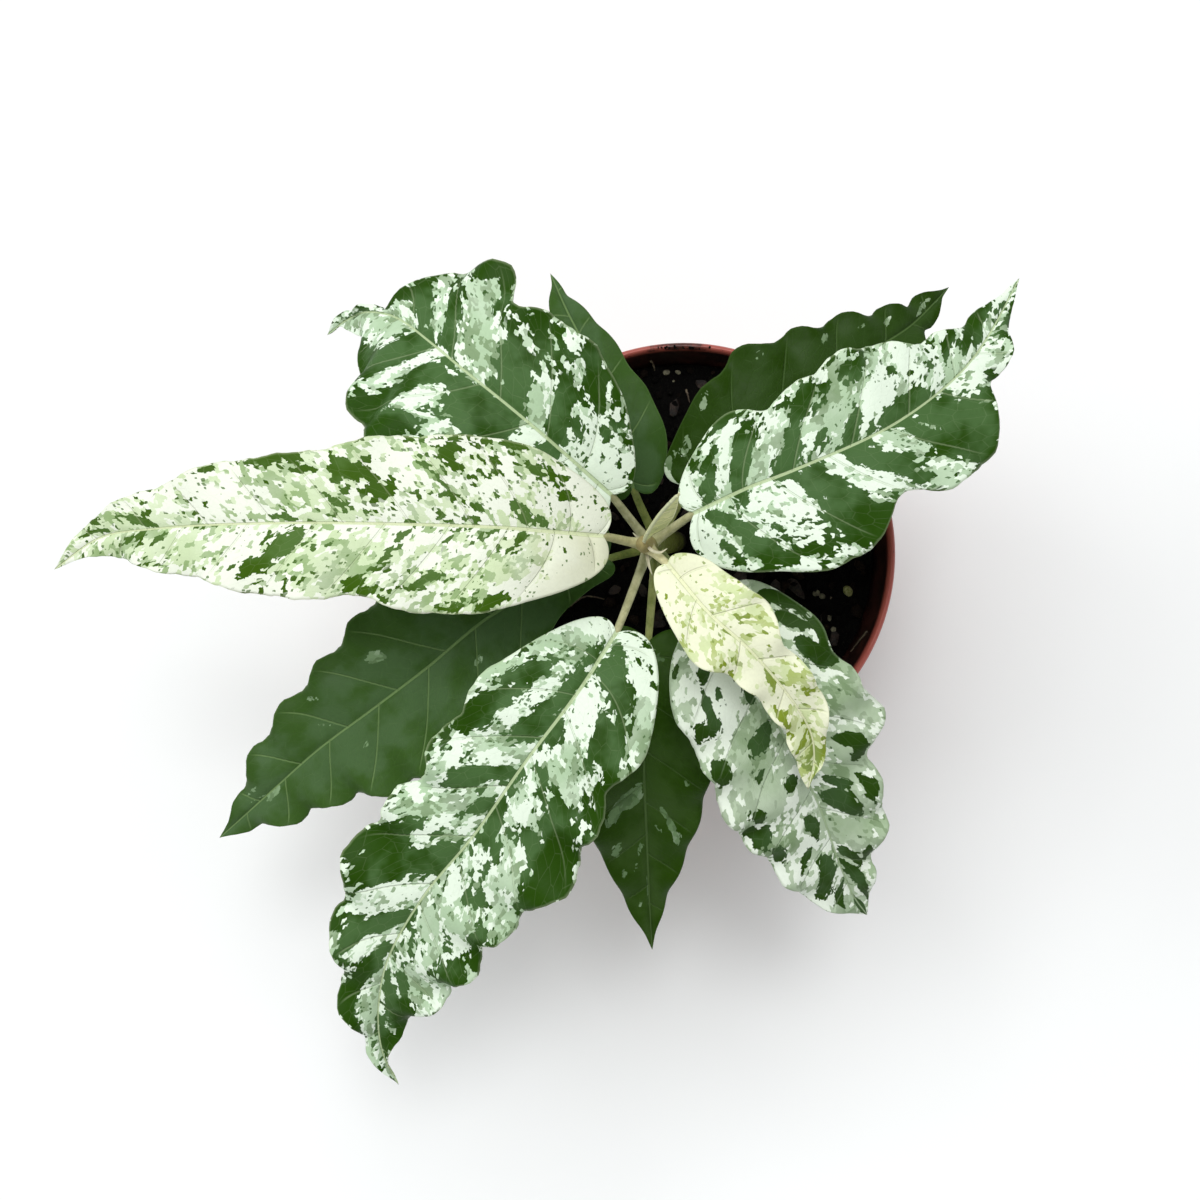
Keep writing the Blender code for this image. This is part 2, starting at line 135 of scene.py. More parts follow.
# Petioles, and the ribs that they run on as, in millimetres and shares of the length
STALK_STEPS = 26
STALK_SHARES = (0, 0.06, 0.2, 0.85, 1)
STALK_RADII = (1.75, 1.45, 1.2, 1.0, 0.95)
STALK_ROOT = 0.4
STALK_RISE = 0.5
STALK_DROP = 1.0
RIB_STEPS = 48
RIB_REACH = 0.94
RIB_TAPER = 0.85
RIB_TIP = 0.18
RIB_SINK = 0.8

# Fine stem: its joints swell, and a ring-shaped scar lies under each one
STEM_SPAN = (70, 180)
STEM_ROWS = 150
OLD_NODES = (99, 105, 111)
SWELL = (0.28, -0.5, 1.1, 0.4)
SCAR = (0.22, 1.2, 0.35, 0.3)
TIP_START = 176
TIP_SPAN = 4.2
TIP_LEAST = 0.05
BARK_RELIEF = 0.12
BARK_PACE = (0.9, 0.9, 0.35)

# Soil, in millimetres. Spans are those of random draws
SOIL_REACH = 55.0
SOIL_RINGS = 64
SOIL_STEPS = 200
SOIL_SHOULDER = 84
STEM_CLEAR = 4.5
CRUMB_SHAPE = ((0.7, 1.5), (0.7, 1.2), (0.5, 0.9))
CHIP_SHAPE = ((1.0, 1.9), (0.5, 0.9), (0.15, 0.32))
LIP_DIRT = 16
TWIG_STEPS = 14
TWIG_RADII = (0.34, 0.18)

# Floor and lights, in metres
FLOOR_HALF = 12.0
FLOOR_CELLS = 8
LAMP_DISTANCE = 2

# Camera of the picture: straight down, square frame
CAMERA_SPOT = (-0.0238, -0.0130, 0.750)
FOCAL_SHARE = 2279.0 / 1200.0
SENSOR = 36.0
CLIP_START = 0.01

# Tones in linear colour
IVORY = (0.64, 0.65, 0.42)
UNDERSIDE = (0.36, 0.44, 0.28)
BARK_GREEN = (0.13, 0.155, 0.022)
BARK_BROWN = (0.070, 0.062, 0.022)
# Near-black foot of the stem: painted shade just above the soil
BARK_FOOT_PAINTED_SHADE = (0.014, 0.011, 0.005)
BARK_TIP = (0.35, 0.29, 0.115)
PORE = (0.42, 0.38, 0.25)
SCUFF = (0.55, 0.30, 0.24)
POT_SPECK = (0.06, 0.035, 0.025)
SMUDGE = (0.010, 0.006, 0.004)
# Inner wall of the pot: painted shade inside the pot, with a little soil smear
INNER_SHADE_AND_SOIL = (0.006, 0.003, 0.002)


@dataclass
class Leaf:
    """One leaf. Half-widths are at even steps from base to tip; strokes are its larger markings.

    A stroke is (row, column, half length, half width, green, pale): rows 0..100 run base to tip,
    columns -100..100 run right to left, green and pale push the two pigment layers there.
    """
    name: str
    node_z: float
    midrib: tuple
    left: tuple
    right: tuple
    look: str
    lobes: tuple = (7, 7)
    waves: tuple = (8, 1, 2)
    phase: tuple = (0, 0)
    fold: float = 8
    droop: float = 0.1
    base: tuple = (0, 0)
    strokes: tuple = ()


LEAVES = (
    Leaf("leaf_1_cream", 166,
         ((-23, 3, 181), (-37, 4, 187), (-52, 5, 190), (-87, 6, 188), (-116, 6, 180), (-138, 5, 171),
          (-153, 3, 162), (-167, -5, 152)),
         (0, 8, 14, 19, 22, 21, 18, 19, 16, 12, 8, 3, 0),
         (0, 8, 15, 21, 22, 22, 20, 17, 16, 12, 8, 4, 0), "cream",
         lobes=(6, 6), waves=(7, 0.5, 1.6), phase=(0.2, 0.6), base=(-0.85, 0.0),
         strokes=(
         (9, 50, 12, 60, -1.8, -1.8), (25, 48, 4.5, 22, -0.9, 1.3), (20, 96, 2.5, 6, 1.2, 0.4),
         (27, 88, 3, 12, 1.6, 1), (39, 64, 2.52, 12.6, 2.5, 0.3), (36, 92, 2.25, 7.2, 1.5, 0.3),
         (44, 35, 1.08, 9.9, 1.9, 0), (42, 10, 1.17, 9, 1.9, 0), (24, 13, 0.9, 7.2, 1.7, 0),
         (34, 4, 1.44, 3.6, 1.5, 0), (49, 82, 1.08, 13.5, 1.7, 0.3), (58, 22, 2.7, 19.8, 2.9, 0.3),
         (63, 58, 2.88, 16.2, 2.1, 0.3), (50, 55, 5, 30, -0.7, 1.1), (68, 50, 5.5, 50, -1.2, -0.7),
         (77, 75, 1.35, 19.8, 1.5, 0.4), (75, 50, 4, 40, 0, 0.9), (84, 55, 5, 50, 0.3, 1.7),
         (95, 20, 5, 90, -0.8, 0.2), (10, -60, 11, 45, -0.8, -1.5), (9, -27, 2.5, 6, 1.7, 0),
         (13, -40, 2, 7, 1.7, 0), (17, -62, 3, 16, 0.9, 0), (20, -10, 1.53, 8.1, 2.1, 0.3),
         (24, -18, 1.71, 14.4, 2.3, 0.3), (24, -82, 3, 18, 1.4, 0.9), (36, -76, 1.26, 10.8, 1.9, 0.3),
         (37, -13, 0.9, 6.3, 1.5, 0), (45, -40, 1.2, 7, 1.5, 0.5), (52, -30, 1.17, 13.5, 2.1, 0.3),
         (50, -72, 1.35, 21.6, 1.7, 0.3), (59, -10, 1.8, 7.2, 2.1, 0), (62, -93, 4.5, 7.2, 1.9, 0.3),
         (70, -92, 1.8, 7.2, 1.7, 0.3), (70, -50, 7, 36, -0.8, -0.6), (60, -58, 3, 20, -0.6, 1.1),
         (80, -18, 1.08, 15.3, 2.1, 0.4), (84, -55, 1.8, 39.6, 1.6, 0.8), (89, -40, 1, 40, 1.6, 0.5),
         (87, -50, 5, 50, 0, 1.2), (36, -97, 14, 4, 1.3, 0.3))),
    Leaf("leaf_2_upper_left", 147,
         ((-21, 14, 166), (-36, 27, 172), (-48, 37, 173), (-59, 46, 170), (-67, 53, 163), (-77, 61, 152),
          (-86, 64, 141), (-93, 63, 130), (-99, 60, 122)),
         (0, 9, 17, 23, 26, 28, 30, 29, 24.5, 17, 8, 2, 0),
         (0, 7, 14.5, 22, 25, 26, 21.5, 27, 19.5, 4, 1, 2.5, 0), "marbled",
         lobes=(6, 6), waves=(7, 1.2, 2), phase=(0.1, 0.6), base=(-0.28, -0.05),
         strokes=(
         (10, 50, 12, 60, -1.5, -1.1), (10, 84, 1.5, 14, 2.2, 0), (15, 42, 2, 20, 1.2, 0),
         (22, 90, 3.5, 12, 1.7, 0.4), (27, 15, 3, 14, 2.0, 0.5), (29, 38, 6, 8, 1.3, 0.9),
         (33, 14, 2.5, 12, -2.0, -0.8), (43, 22, 7.5, 24, 2.4, 0.3), (33, 72, 8, 24, -1.0, 0.5),
         (42, 78, 3, 10, 1.6, 0.3), (58, 80, 6, 26, 2.3, 0.3), (54, 46, 1.5, 30, -3.4, -1.0),
         (57.5, 50, 1.2, 34, 1.8, 0.2), (61, 34, 1.3, 34, -3.4, -0.6), (66, 40, 2.5, 44, 2.4, 0.2),
         (74, 78, 6, 24, 2.3, 0.2), (73, 16, 4, 18, -1.6, 1.2), (84, 30, 6, 40, -1.3, 0.8),
         (94, 0, 6, 80, -0.4, 1.0), (13, -35, 11, 45, -1.5, -0.9), (10, -28, 1.3, 16, 1.8, 0),
         (18, -15, 1, 8, 1.7, 0), (25, -30, 1.5, 12, 2.0, 0), (27, -80, 7, 20, 2.1, 0.2),
         (30, -25, 2.6, 26, 2.0, 0.2), (35, -18, 2.5, 20, -2.2, 1.3), (42, -28, 5.5, 22, 2.4, 0.3),
         (42, -80, 5, 16, 1.3, 0.2), (53, -40, 4.5, 44, -1.6, 1.3), (60, -30, 1.8, 32, 2.2, 0.2),
         (64, -45, 1.5, 36, -1.8, 0), (69, -45, 2.2, 45, 2.2, 0.2), (77, -40, 3, 50, -0.8, 0.8),
         (85, -50, 2, 50, 1.3, 0.3), (58, -86, 4, 18, 2.8, 0), (56, 20, 1.8, 16, 2.6, 0),
         (64, 16, 2, 16, 2.4, 0), (50, 14, 2.4, 14, 2.2, 0), (13, -62, 1.2, 6, 2.2, 0),
         (17, -40, 1.2, 5, 2.2, 0), (21, -55, 1.4, 6, 2.0, 0), (9, -12, 1.6, 5, 2.0, 0),
         (33, -70, 1.4, 10, -2.6, 0), (26, -86, 1.2, 8, -2.4, 0), (38, -88, 1.4, 8, -2.4, 0),
         (57, -76, 1.4, 9, -3.6, 1.0))),
    Leaf("leaf_3_right", 160,
         ((0, 9, 174), (13, 15, 180), (26, 20, 182), (48, 30, 178), (65, 42, 169), (76, 54, 159),
          (87, 72, 148)),
         (0, 6, 13, 19, 17, 20, 22, 21, 15, 11, 7, 3.5, 0),
         (0, 10, 18, 23, 26, 26, 17, 21, 21, 9, 7, 2, 0), "marbled",
         lobes=(6, 8), waves=(7, 0.8, 1.6), phase=(0.0, 0.5), base=(-0.43, -0.15),
         strokes=(
         (5, 50, 6, 70, -1.8, -1.2), (11, 18, 4, 12, 2.0, 0.2), (15, 45, 4, 12, 1.5, 0.2),
         (18, 68, 3, 8, 1.5, 0.2), (16, 90, 3, 12, 1.8, 0.5), (24, 94, 4, 8, 1.5, 0.5),
         (20, 40, 1.6, 34, -2.6, -1.0), (24, 36, 2.8, 42, 2.6, 0.3), (28, 28, 2.2, 24, -2.0, 1.4),
         (33, 18, 3, 20, 2.3, 0.3), (33, 70, 4.5, 28, -1.4, 0.7), (40, 72, 1.8, 22, 1.9, 0.2),
         (46, 45, 4, 18, -1.2, 1.4), (50, 78, 6, 18, 0.5, 1.6), (48, 22, 1.6, 20, 2.3, 0.2),
         (59, 9, 7, 11, 2.4, 0.2), (56, 42, 5, 16, -1.3, -0.3), (66, 72, 5, 28, -0.8, 0.2),
         (70, 20, 4, 22, -1.2, 1.2), (75, 65, 1.3, 34, 2.0, 0.2), (80, 60, 1.3, 40, 2.0, 0.2),
         (86, 70, 3, 30, 1.8, 0.3), (95, 0, 5, 90, 0.5, 0.5), (7, -62, 8, 42, -1.8, -1.1),
         (13, -25, 4, 8, 1.7, 0.1), (20, -45, 3.5, 10, 1.8, 0.1), (29, -27, 7.5, 20, -1.7, -0.4),
         (24, -78, 9, 17, 2.2, 0.2), (40, -50, 4.2, 52, 2.5, 0.2), (46, -42, 1.5, 46, -3.6, -0.8),
         (50, -45, 3.4, 50, 2.6, 0.2), (55, -26, 2, 25, -3.4, 0.7), (64, -50, 7.5, 55, 2.5, 0.2),
         (62, -38, 1, 14, -2.4, 0), (77, -32, 1.3, 30, -2.2, -0.2), (81, -32, 1.3, 30, -2.0, 0),
         (88, -60, 5, 50, 0.8, 0.2), (10, -18, 2, 6, 2.6, 0), (14, -30, 2, 7, 2.4, 0),
         (18, -42, 2, 8, 2.2, 0), (15, -66, 1.8, 9, 2.4, 0), (21, -62, 2.2, 7, 2.2, 0),
         (27, -50, 1.4, 6, 2.2, 0), (30, -22, 1.4, 5, 2.0, 0), (8, -50, 1, 4, 1.8, 0),
         (20, -84, 1.2, 8, -2.6, 0), (27, -72, 1.2, 8, -2.6, 0), (30, -90, 1.4, 8, -2.4, 0),
         (36, 40, 1.4, 10, 1.8, 0), (42, 30, 1.2, 8, 1.8, 0), (60, 60, 1.2, 8, 1.8, 0),
         (53, 64, 1.4, 8, 1.8, 0))),
    Leaf("leaf_4_right_dark", 135,
         ((0, 17, 153), (12, 26, 157), (24, 36, 157), (37, 45, 154), (50, 54, 148), (60, 61, 141),
          (71, 72, 131)),
         (0, 7, 12, 17, 18.5, 19.5, 17, 14.5, 12, 8.5, 6, 3.5, 0),
         (0, 9, 15, 19, 21, 21, 19, 17, 14, 10, 5, 2, 0), "dark",
         lobes=(7, 7), waves=(7, 1.1, 1.6), phase=(0.3, 0.2), base=(2.2, 0.0),
         strokes=(
         (60, 75, 1.3, 18, -2.5, 0.6), (45, 82, 1.2, 9, -2.6, 0.6), (69, 62, 1.2, 10, -2.5, 0.6),
         (52, 40, 1, 7, -2.4, 0.6), (8, 88, 8, 12, -3.0, 0.6), (17, 70, 3, 14, -2.7, 0.6),
         (28, 86, 3, 11, -2.7, 0.6), (88, 30, 4.5, 28, -3.1, 0.7), (93, -10, 2.5, 30, -2.9, 0.7),
         (76, 50, 1.8, 16, -2.9, 0.6), (5, 92, 6, 11, -3.2, -1.6))),
    Leaf("leaf_5_young", 174,
         ((-7, -4, 182), (3, -16, 185), (13, -25, 184), (22, -35, 179), (29, -45, 172), (31, -53, 167),
          (30, -62, 161)),
         (0, 4, 8, 10, 11, 12, 8, 7.5, 8, 6, 3.5, 1.5, 0),
         (0, 4, 7, 9, 11, 11, 8, 7, 6.5, 6, 6, 4, 0), "young",
         lobes=(3, 3), waves=(6, 0.5, 1.2), phase=(0.2, 0.7), base=(-1.0, -0.3),
         strokes=(
         (10, 0, 15, 110, -1.0, -0.8), (28, 78, 8, 26, 0.5, 1.0), (42, 60, 6, 30, 0.3, 1.0),
         (20, -25, 5, 12, 0.2, 1.0), (58, -18, 2, 18, 1.6, 0.6), (30, -72, 4, 16, 0, 1.3),
         (60, 45, 6, 40, 0.5, 0.6), (68, -70, 4, 22, 0.9, 0.8), (83, 0, 8, 110, 0.9, 1.0),
         (88, 30, 3, 90, 1.2, 0.5))),
    Leaf("leaf_6_upper_plain", 122,
         ((-15, 17, 142), (-18, 29, 146), (-23, 41, 145), (-28, 55, 140), (-33, 66, 132), (-37.5, 77, 122)),
         (0, 5, 9, 12, 13, 13, 12, 11, 9, 6, 4, 1.5, 0),
         (0, 5, 9, 11.5, 12, 11.5, 10, 8.5, 6.5, 4.8, 2.6, 1.3, 0), "green",
         lobes=(5, 5), waves=(5, 0.3, 0.8), phase=(0.2, 0.7), fold=10, base=(2.6, 0.0)),
    Leaf("leaf_7_lower_right", 141,
         ((6, -16, 160), (13, -29, 164), (21, -43, 161), (28, -56, 155), (34, -67, 147), (40, -82, 136),
          (45, -93, 127), (50, -100, 120)),
         (0, 10, 17, 22, 22, 24, 26, 18, 17, 15, 9, 6, 0),
         (0, 7.5, 16, 21.5, 22.5, 22, 23, 23, 21, 17, 14, 7, 0), "shaded",
         lobes=(8, 4), waves=(7, 0.8, 1.8), phase=(0.0, 0.2), base=(-1.3, 0.2),
         strokes=(
         (6, 0, 9, 110, -1.2, 0.5), (45, 80, 5, 9, 0, 1.6), (52, 60, 1.5, 16, 3.2, 0),
         (56, 80, 2, 12, 3.2, 0), (60, 40, 1.5, 20, 3, 0), (65, 36, 3.4, 28, 3.3, 0), (64, 80, 2, 12, 3, 0),
         (73, 36, 2.8, 36, -1.5, 1.8), (79, 30, 1.5, 30, 3.2, 0), (83, 28, 1.3, 30, 3.2, 0),
         (80, 75, 2.5, 14, 3, 0), (87, 40, 1.5, 40, 3.2, 0), (92, 60, 1.5, 40, 3, 0),
         (95, 0, 3.5, 80, 2.6, 0), (21, -50, 3.2, 13, 3.6, 0), (19, -90, 1.8, 7, 3.2, 0),
         (28, -42, 2, 6, 3.2, 0), (29, -60, 2.6, 6, 3.2, 0), (34, -66, 3.0, 11, 3.2, 0),
         (32, -13, 3, 7, 3, 0), (34, -84, 2.2, 8, 3.2, 0), (43, -28, 2.4, 20, 3.4, 0),
         (45, -85, 3, 11, 3.4, 0), (50, -45, 1.2, 10, 2.6, 0), (55, -18, 1.8, 10, 3.2, 0),
         (58, -70, 1.8, 8, 3.2, 0), (62, -88, 2.2, 8, 3.2, 0), (65, -78, 2.4, 14, 3.4, 0),
         (68, -18, 3.5, 9, 3.2, 0), (72, -80, 3, 14, 3.4, 0), (75, -45, 1.4, 12, 2.8, 0),
         (79, -22, 2.6, 12, 3.2, 0), (84, -45, 2.2, 34, 3.3, 0), (89, -35, 1.4, 34, 3.2, 0),
         (52, -50, 8, 16, 0, 1.6), (38, -28, 3, 20, 0, 1.2), (17, 88, 3.6, 14, 3.2, 0),
         (22, 76, 2.6, 12, 3.0, 0), (28, 70, 2.8, 10, 3.0, 0), (33, 86, 3.4, 14, 3.0, 0),
         (25, 96, 8, 7, 2.6, 0), (24, 60, 2, 8, -1.2, -1.5), (30, 56, 2.5, 8, -1.2, -1.2),
         (38, 94, 2, 7, -1.6, 1.2), (27, -50, 11, 44, -0.3, -1.15), (62, -40, 8, 50, -0.3, -0.35))),
    Leaf("leaf_8_bottom_dark", 128,
         ((-11, -24, 147), (-12, -41, 148), (-12, -59, 140), (-11, -78, 127), (-10, -97, 114),
          (-9, -112, 105)),
         (0, 9, 14, 18, 19, 19, 17, 15, 12, 8.5, 5, 2, 0),
         (0, 9, 14, 18, 20, 20, 18, 16, 14, 10, 7, 3, 0), "lower",
         lobes=(7, 7), waves=(6, 0.4, 0.8), phase=(0.2, 0.2), fold=10, base=(2.2, 0.0),
         strokes=(
         (12, 20, 8, 40, -1.6, 0.8), (16, -40, 6, 30, -1.4, 0.8), (65, 66, 2.6, 14, -3.1, 0.9),
         (61, 45, 1.8, 11, -2.8, 0.9), (57, 30, 1.5, 8, -2.7, 0.9), (49, 62, 1.8, 9, -2.7, 0.9),
         (62, 22, 1.5, 14, -2.7, 0.9), (52, -12, 3.0, 14, -3.0, 0.9), (54, -34, 2.6, 18, -3.0, 0.9),
         (58, -56, 2.2, 15, -2.8, 0.9), (67, -62, 2.6, 25, -2.7, 0.9), (68, -14, 2.4, 9, -2.8, 0.9),
         (73, -30, 1.5, 13, -2.8, 0.9), (75, -66, 1.9, 15, -2.7, 0.9), (80, -4, 8, 4, -2.7, 0.9),
         (84, -36, 1.5, 15, -2.6, 0.9))),
    Leaf("leaf_9_lower_left", 153,
         ((-19.7, -21.3, 170), (-29.2, -36, 176), (-42, -53, 176), (-56, -73, 169), (-69, -89, 161),
          (-79, -106, 151), (-83, -121, 141), (-83, -135, 132), (-79, -146, 125)),
         (0, 9, 17, 23, 22, 26, 26, 22, 21.5, 18.5, 12.5, 2, 0),
         (0, 7, 14, 20, 22, 21, 21, 23, 20, 14, 9, 4, 0), "marbled",
         lobes=(8, 6), waves=(8, 1.8, 3), phase=(0.1, 0.5), base=(-0.30, -0.05),
         strokes=(
         (10, 30, 3.6, 16, 2.6, 0), (15, 22, 3, 16, 2.6, 0.2), (18, 52, 3, 14, 2.0, 0),
         (4, 75, 1.6, 10, 2.4, 0), (8, 88, 1.6, 10, 2.2, 0), (12, 70, 1.6, 10, 1.8, 0),
         (14, 90, 1.4, 8, 1.6, 0), (24, 22, 3.5, 18, -1.9, -1.2), (25, 46, 1.6, 12, 2.0, 0),
         (27, 62, 3.2, 22, 2.3, 0), (31, 78, 1.6, 10, -1.5, 0), (33, 93, 4, 10, 2.0, 0),
         (33, 40, 4, 22, -1.6, 1.2), (36, 22, 1.6, 10, 1.8, 0), (38, 48, 1.4, 16, 2.0, 0),
         (42, 22, 2.4, 16, -2.0, -1.0), (44, 76, 3.6, 24, 2.4, 0), (46, 48, 1.6, 18, 1.9, 0),
         (50, 30, 1.2, 9, 1.8, 0), (50, 88, 3, 12, 2.0, 0), (53, 62, 2.4, 28, -1.8, 0.6),
         (57, 44, 2.4, 14, 1.5, 0.8), (57, 18, 2.2, 12, -1.6, -0.8), (62, 86, 2.2, 14, 1.9, 0),
         (61, 60, 2.4, 14, -1.4, 1.2), (66, 30, 2.6, 18, -1.2, 1.2), (69, 66, 2, 18, 1.6, 0),
         (72, 88, 3, 14, 1.8, 0), (72, 22, 2.6, 10, 1.6, 0), (76, 50, 3, 30, -1.6, 0.6),
         (80, 14, 2.6, 14, 2.0, 0), (84, 66, 3.4, 34, 2.2, 0), (90, 40, 3, 50, 1.2, 0.6),
         (6, -76, 7, 36, -1.6, -1.2), (5, -94, 2, 8, 2.6, 0), (9, -84, 1.8, 9, 2.2, 0),
         (6, -66, 1, 5, 1.8, 0), (13, -18, 4.2, 9, 2.2, 0), (20, -12, 2.6, 12, 2.2, 0),
         (26, -14, 2.6, 14, 2.2, 0), (24, -66, 3.4, 18, 2.3, 0), (26, -36, 2.4, 8, -1.9, -1.2),
         (31, -42, 1.4, 16, -1.6, -0.8), (31, -18, 2.2, 18, 2.1, 0), (34, -78, 4, 22, 2.4, 0),
         (26, -90, 1.8, 8, -1.6, 1.2), (38, -30, 1.8, 22, -2.4, -0.6), (37, -62, 1.6, 18, -1.8, 0.8),
         (42, -40, 1.8, 34, 2.6, 0), (46, -20, 1.6, 16, 2.2, 0), (49, -52, 2.6, 32, -1.8, 1.2),
         (45, -84, 2, 14, -1.5, 0.8), (55, -14, 2.6, 14, 2.4, 0), (59, -40, 2.6, 34, 2.6, 0),
         (58, -78, 3, 22, 2.2, 0), (54, -66, 2.2, 12, 1.4, 0.9), (63, -18, 1.2, 18, -2.6, -0.8),
         (66, -52, 1.5, 34, -2.2, 0.2), (68, -24, 1.5, 24, 2.4, 0), (71, -50, 1.4, 40, 2.4, 0),
         (73, -40, 0.9, 30, -1.8, -0.8), (77, -42, 2, 40, 2.2, 0), (82, -22, 3.2, 22, -2.0, 1.5),
         (84, -80, 3, 18, 1.8, 0), (88, -50, 2.4, 36, -0.6, 1.2), (95, 0, 4, 90, -0.4, 1.0),
         (8, 66, 8, 50, -1.5, -1.5), (20, 84, 3.4, 16, -1.4, 1.2), (4, -60, 8, 50, -1.2, -1.3),
         (15, -78, 4, 22, -1.2, 0.9), (40, 6, 2, 6, 2.0, 0), (47, 8, 2, 8, 2.2, 0),
         (30, 10, 1.6, 6, 1.8, 0), (77, 30, 1.4, 10, 1.8, 0), (66, 92, 2, 8, 2.2, 0))),
    Leaf("leaf_10_left_dark", 116,
         ((-22, -2, 137), (-38, -9, 143), (-54, -18, 144), (-70, -31, 140), (-86, -43, 134),
          (-101, -54, 127), (-116, -67, 119), (-131, -80, 108)),
         (0, 4.4, 6, 10, 17, 22, 24, 24, 21, 15, 11, 5, 0),
         (0, 9, 15, 20, 24, 24, 23, 20, 17, 14, 10, 4, 0), "green",
         lobes=(5, 8), waves=(9, 1.2, 2), phase=(0.5, 0.18), base=(2.2, 0.0),
         strokes=(
         (42, 35, 2, 12, -2.6, 0.9), (65, 30, 1.4, 6, -2.2, 0.9), (55, -48, 1.8, 19, -3.1, 0.9),
         (61, -36, 0.8, 9, -2.2, 0.9), (69, -26, 0.9, 12, -2.7, 0.9), (68, -77, 1.4, 14, -2.8, 0.9),
         (84, 8, 2.5, 13, -2.9, 0.9), (88, -20, 1.5, 20, -2.0, 0.9), (87, -55, 2, 24, -1.8, 0.9))),
)
SPEAR = Leaf("spear_folded_leaf", 180,
             ((-12.9, 1.2, 180.7), (-12.5, 2.5, 185.5), (-10.9, 5.4, 192), (-8.3, 8.9, 199.5),
              (-4.9, 12.4, 207)),
             (0, 0.4, 0.6, 0.6, 0.6, 0.6, 0.5, 0.3, 0),
             (0, 3.1, 3.6, 3.5, 3.3, 2.8, 2.0, 1.0, 0), "bud",
             lobes=(0, 0), waves=(1, 0, 0), fold=-52, base=(-1.6, 0.6))
STIPULES = tuple(
    Leaf(f"stipule_{number}", 0, path, (0, 0.35, 0.4, third, 0), (0, 0.35, 0.4, third, 0), "sheath",
         lobes=(0, 0), waves=(1, 0, 0), fold=30, base=(-3, -0.6))
    for number, third, path in (
        (1, 0.3, ((-12.2, 0.8, 177.2), (-10.6, -0.7, 180), (-8.8, -1.1, 182), (-7.0, -0.2, 183))),
        (2, 0.25, ((-12.1, 0.0, 170), (-11.7, -2.6, 172), (-11.2, -4.8, 172), (-10.5, -6.8, 171))),
        (3, 0.25, ((-11.6, 1.8, 156), (-13.2, 2.7, 158), (-14.4, 3.5, 159.6), (-15.3, 4.5, 160)))))

# The two tones of the petiole of each kind of leaf, in linear colour
STALKS = {
    "cream": ((0.60, 0.57, 0.31), (0.43, 0.42, 0.20)),
    "marbled": ((0.50, 0.49, 0.28), (0.34, 0.34, 0.17)),
    "shaded": ((0.20, 0.24, 0.07), (0.13, 0.17, 0.045)),
    "dark": ((0.36, 0.38, 0.13), (0.23, 0.27, 0.07)),
    "lower": ((0.36, 0.38, 0.13), (0.23, 0.27, 0.07)),
    "green": ((0.27, 0.31, 0.08), (0.15, 0.20, 0.04)),
    "young": ((0.68, 0.65, 0.38), (0.52, 0.48, 0.25)),
}

# Bits that the picture shows: (x, y, half sizes, turn in degrees) in millimetres
PRILLS = ((47.6, -10.4, (1.3, 1.7, 1.3), 35), (22.5, -39.0, (1.4, 1.7, 1.3), 80),
          (-24.5, 38.0, (1.4, 1.4, 1.3), 0), (-8.0, -33.0, (1.4, 1.6, 1.3), 40))
PALE_CHIPS = ((38.6, -11.0, (1.1, 0.9, 0.5), 20), (40.3, -11.9, (1.0, 0.8, 0.5), -30),
              (43.5, -21.5, (0.8, 0.8, 0.5), 60), (42.2, -17.6, (0.7, 1.6, 0.3), 10),
              (54.9, -18.0, (0.3, 0.3, 0.2), 0), (-4.7, 52.6, (1.1, 0.8, 0.5), 10),
              (-1.3, 52.8, (0.9, 0.6, 0.4), -20), (-2.6, 50.2, (0.4, 0.4, 0.3), 0),
              (-36.5, -9.0, (1.2, 1.5, 0.6), 20), (-30.0, -22.5, (1.4, 1.0, 0.6), 65),
              (10.0, -41.0, (1.1, 1.4, 0.6), 10))
TWIGS = (((43.0, -12.0, 92.6), (42.4, -14.5, 93), (41.4, -17.0, 92.6)),
         ((52.6, -22.0, 98.6), (50.6, -24.8, 95.6), (48.4, -28.0, 92.8)),
         ((-9.2, 55.6, 97), (-8.6, 54.6, 95.5), (-7.8, 52.8, 93.2)),
         ((1.0, 47.6, 93), (1.6, 45.8, 93.4), (2.0, 44.0, 93)),
         ((-33.0, -15.0, 92.8), (-28.0, -12.0, 93.4), (-22.5, -12.8, 92.8)),
         ((-20.0, -30.0, 92.8), (-13.5, -27.0, 93.6), (-6.0, -29.0, 92.8)))


def tint(name, text, value):
    """A colour property in linear light."""
    return FloatVectorProperty(name=name, description=text, default=value, subtype="COLOR", size=3,
                               min=0, max=1)


def metres(name, text, value):
    """A property for a length."""
    return FloatProperty(name=name, description=text, default=value, unit="LENGTH")


def strength(name, text, value):
    """A property for the strength of a light."""
    return FloatProperty(name=name, description=text, default=value, min=0)


def angle(name, text, degrees):
    """A property for an angle that is given in degrees."""
    return FloatProperty(name=name, description=text, default=math.radians(degrees), subtype="ANGLE")


def whole(name, text, value, least=0):
    """A property for a whole number."""
    return IntProperty(name=name, description=text, default=value, min=least)


class FicusLeafSettings(bpy.types.PropertyGroup):
    """Colours and markings of the leaves."""
    cream: tint("Cream", "Unpigmented parts of the lightest leaf", (0.86, 0.91, 0.78))
    white: tint("White", "Unpigmented parts of the marbled leaves", (0.80, 0.915, 0.765))
    mint: tint("Mint", "Parts with only the lower green layer", (0.44, 0.60, 0.39))
    # Deep green carries a painted bluish sheen of the sky; rich green is the yellower green without it, more
    # towards the margin where the blade turns away
    deep: tint("Deep green", "Parts with both green layers", (0.066, 0.140, 0.042))
    rich: tint("Rich green", "Yellower parts near the margin", (0.020, 0.064, 0.002))
    patch: metres("Patch", "Size of the larger markings", 0.011)
    cell: metres("Cell", "Size of the steps in their edges", 0.0009)
    rows: metres("Row pitch", "Distance between mesh rows", 0.0010)
    columns: whole("Columns", "Mesh columns on each side of the midrib", 22, 4)


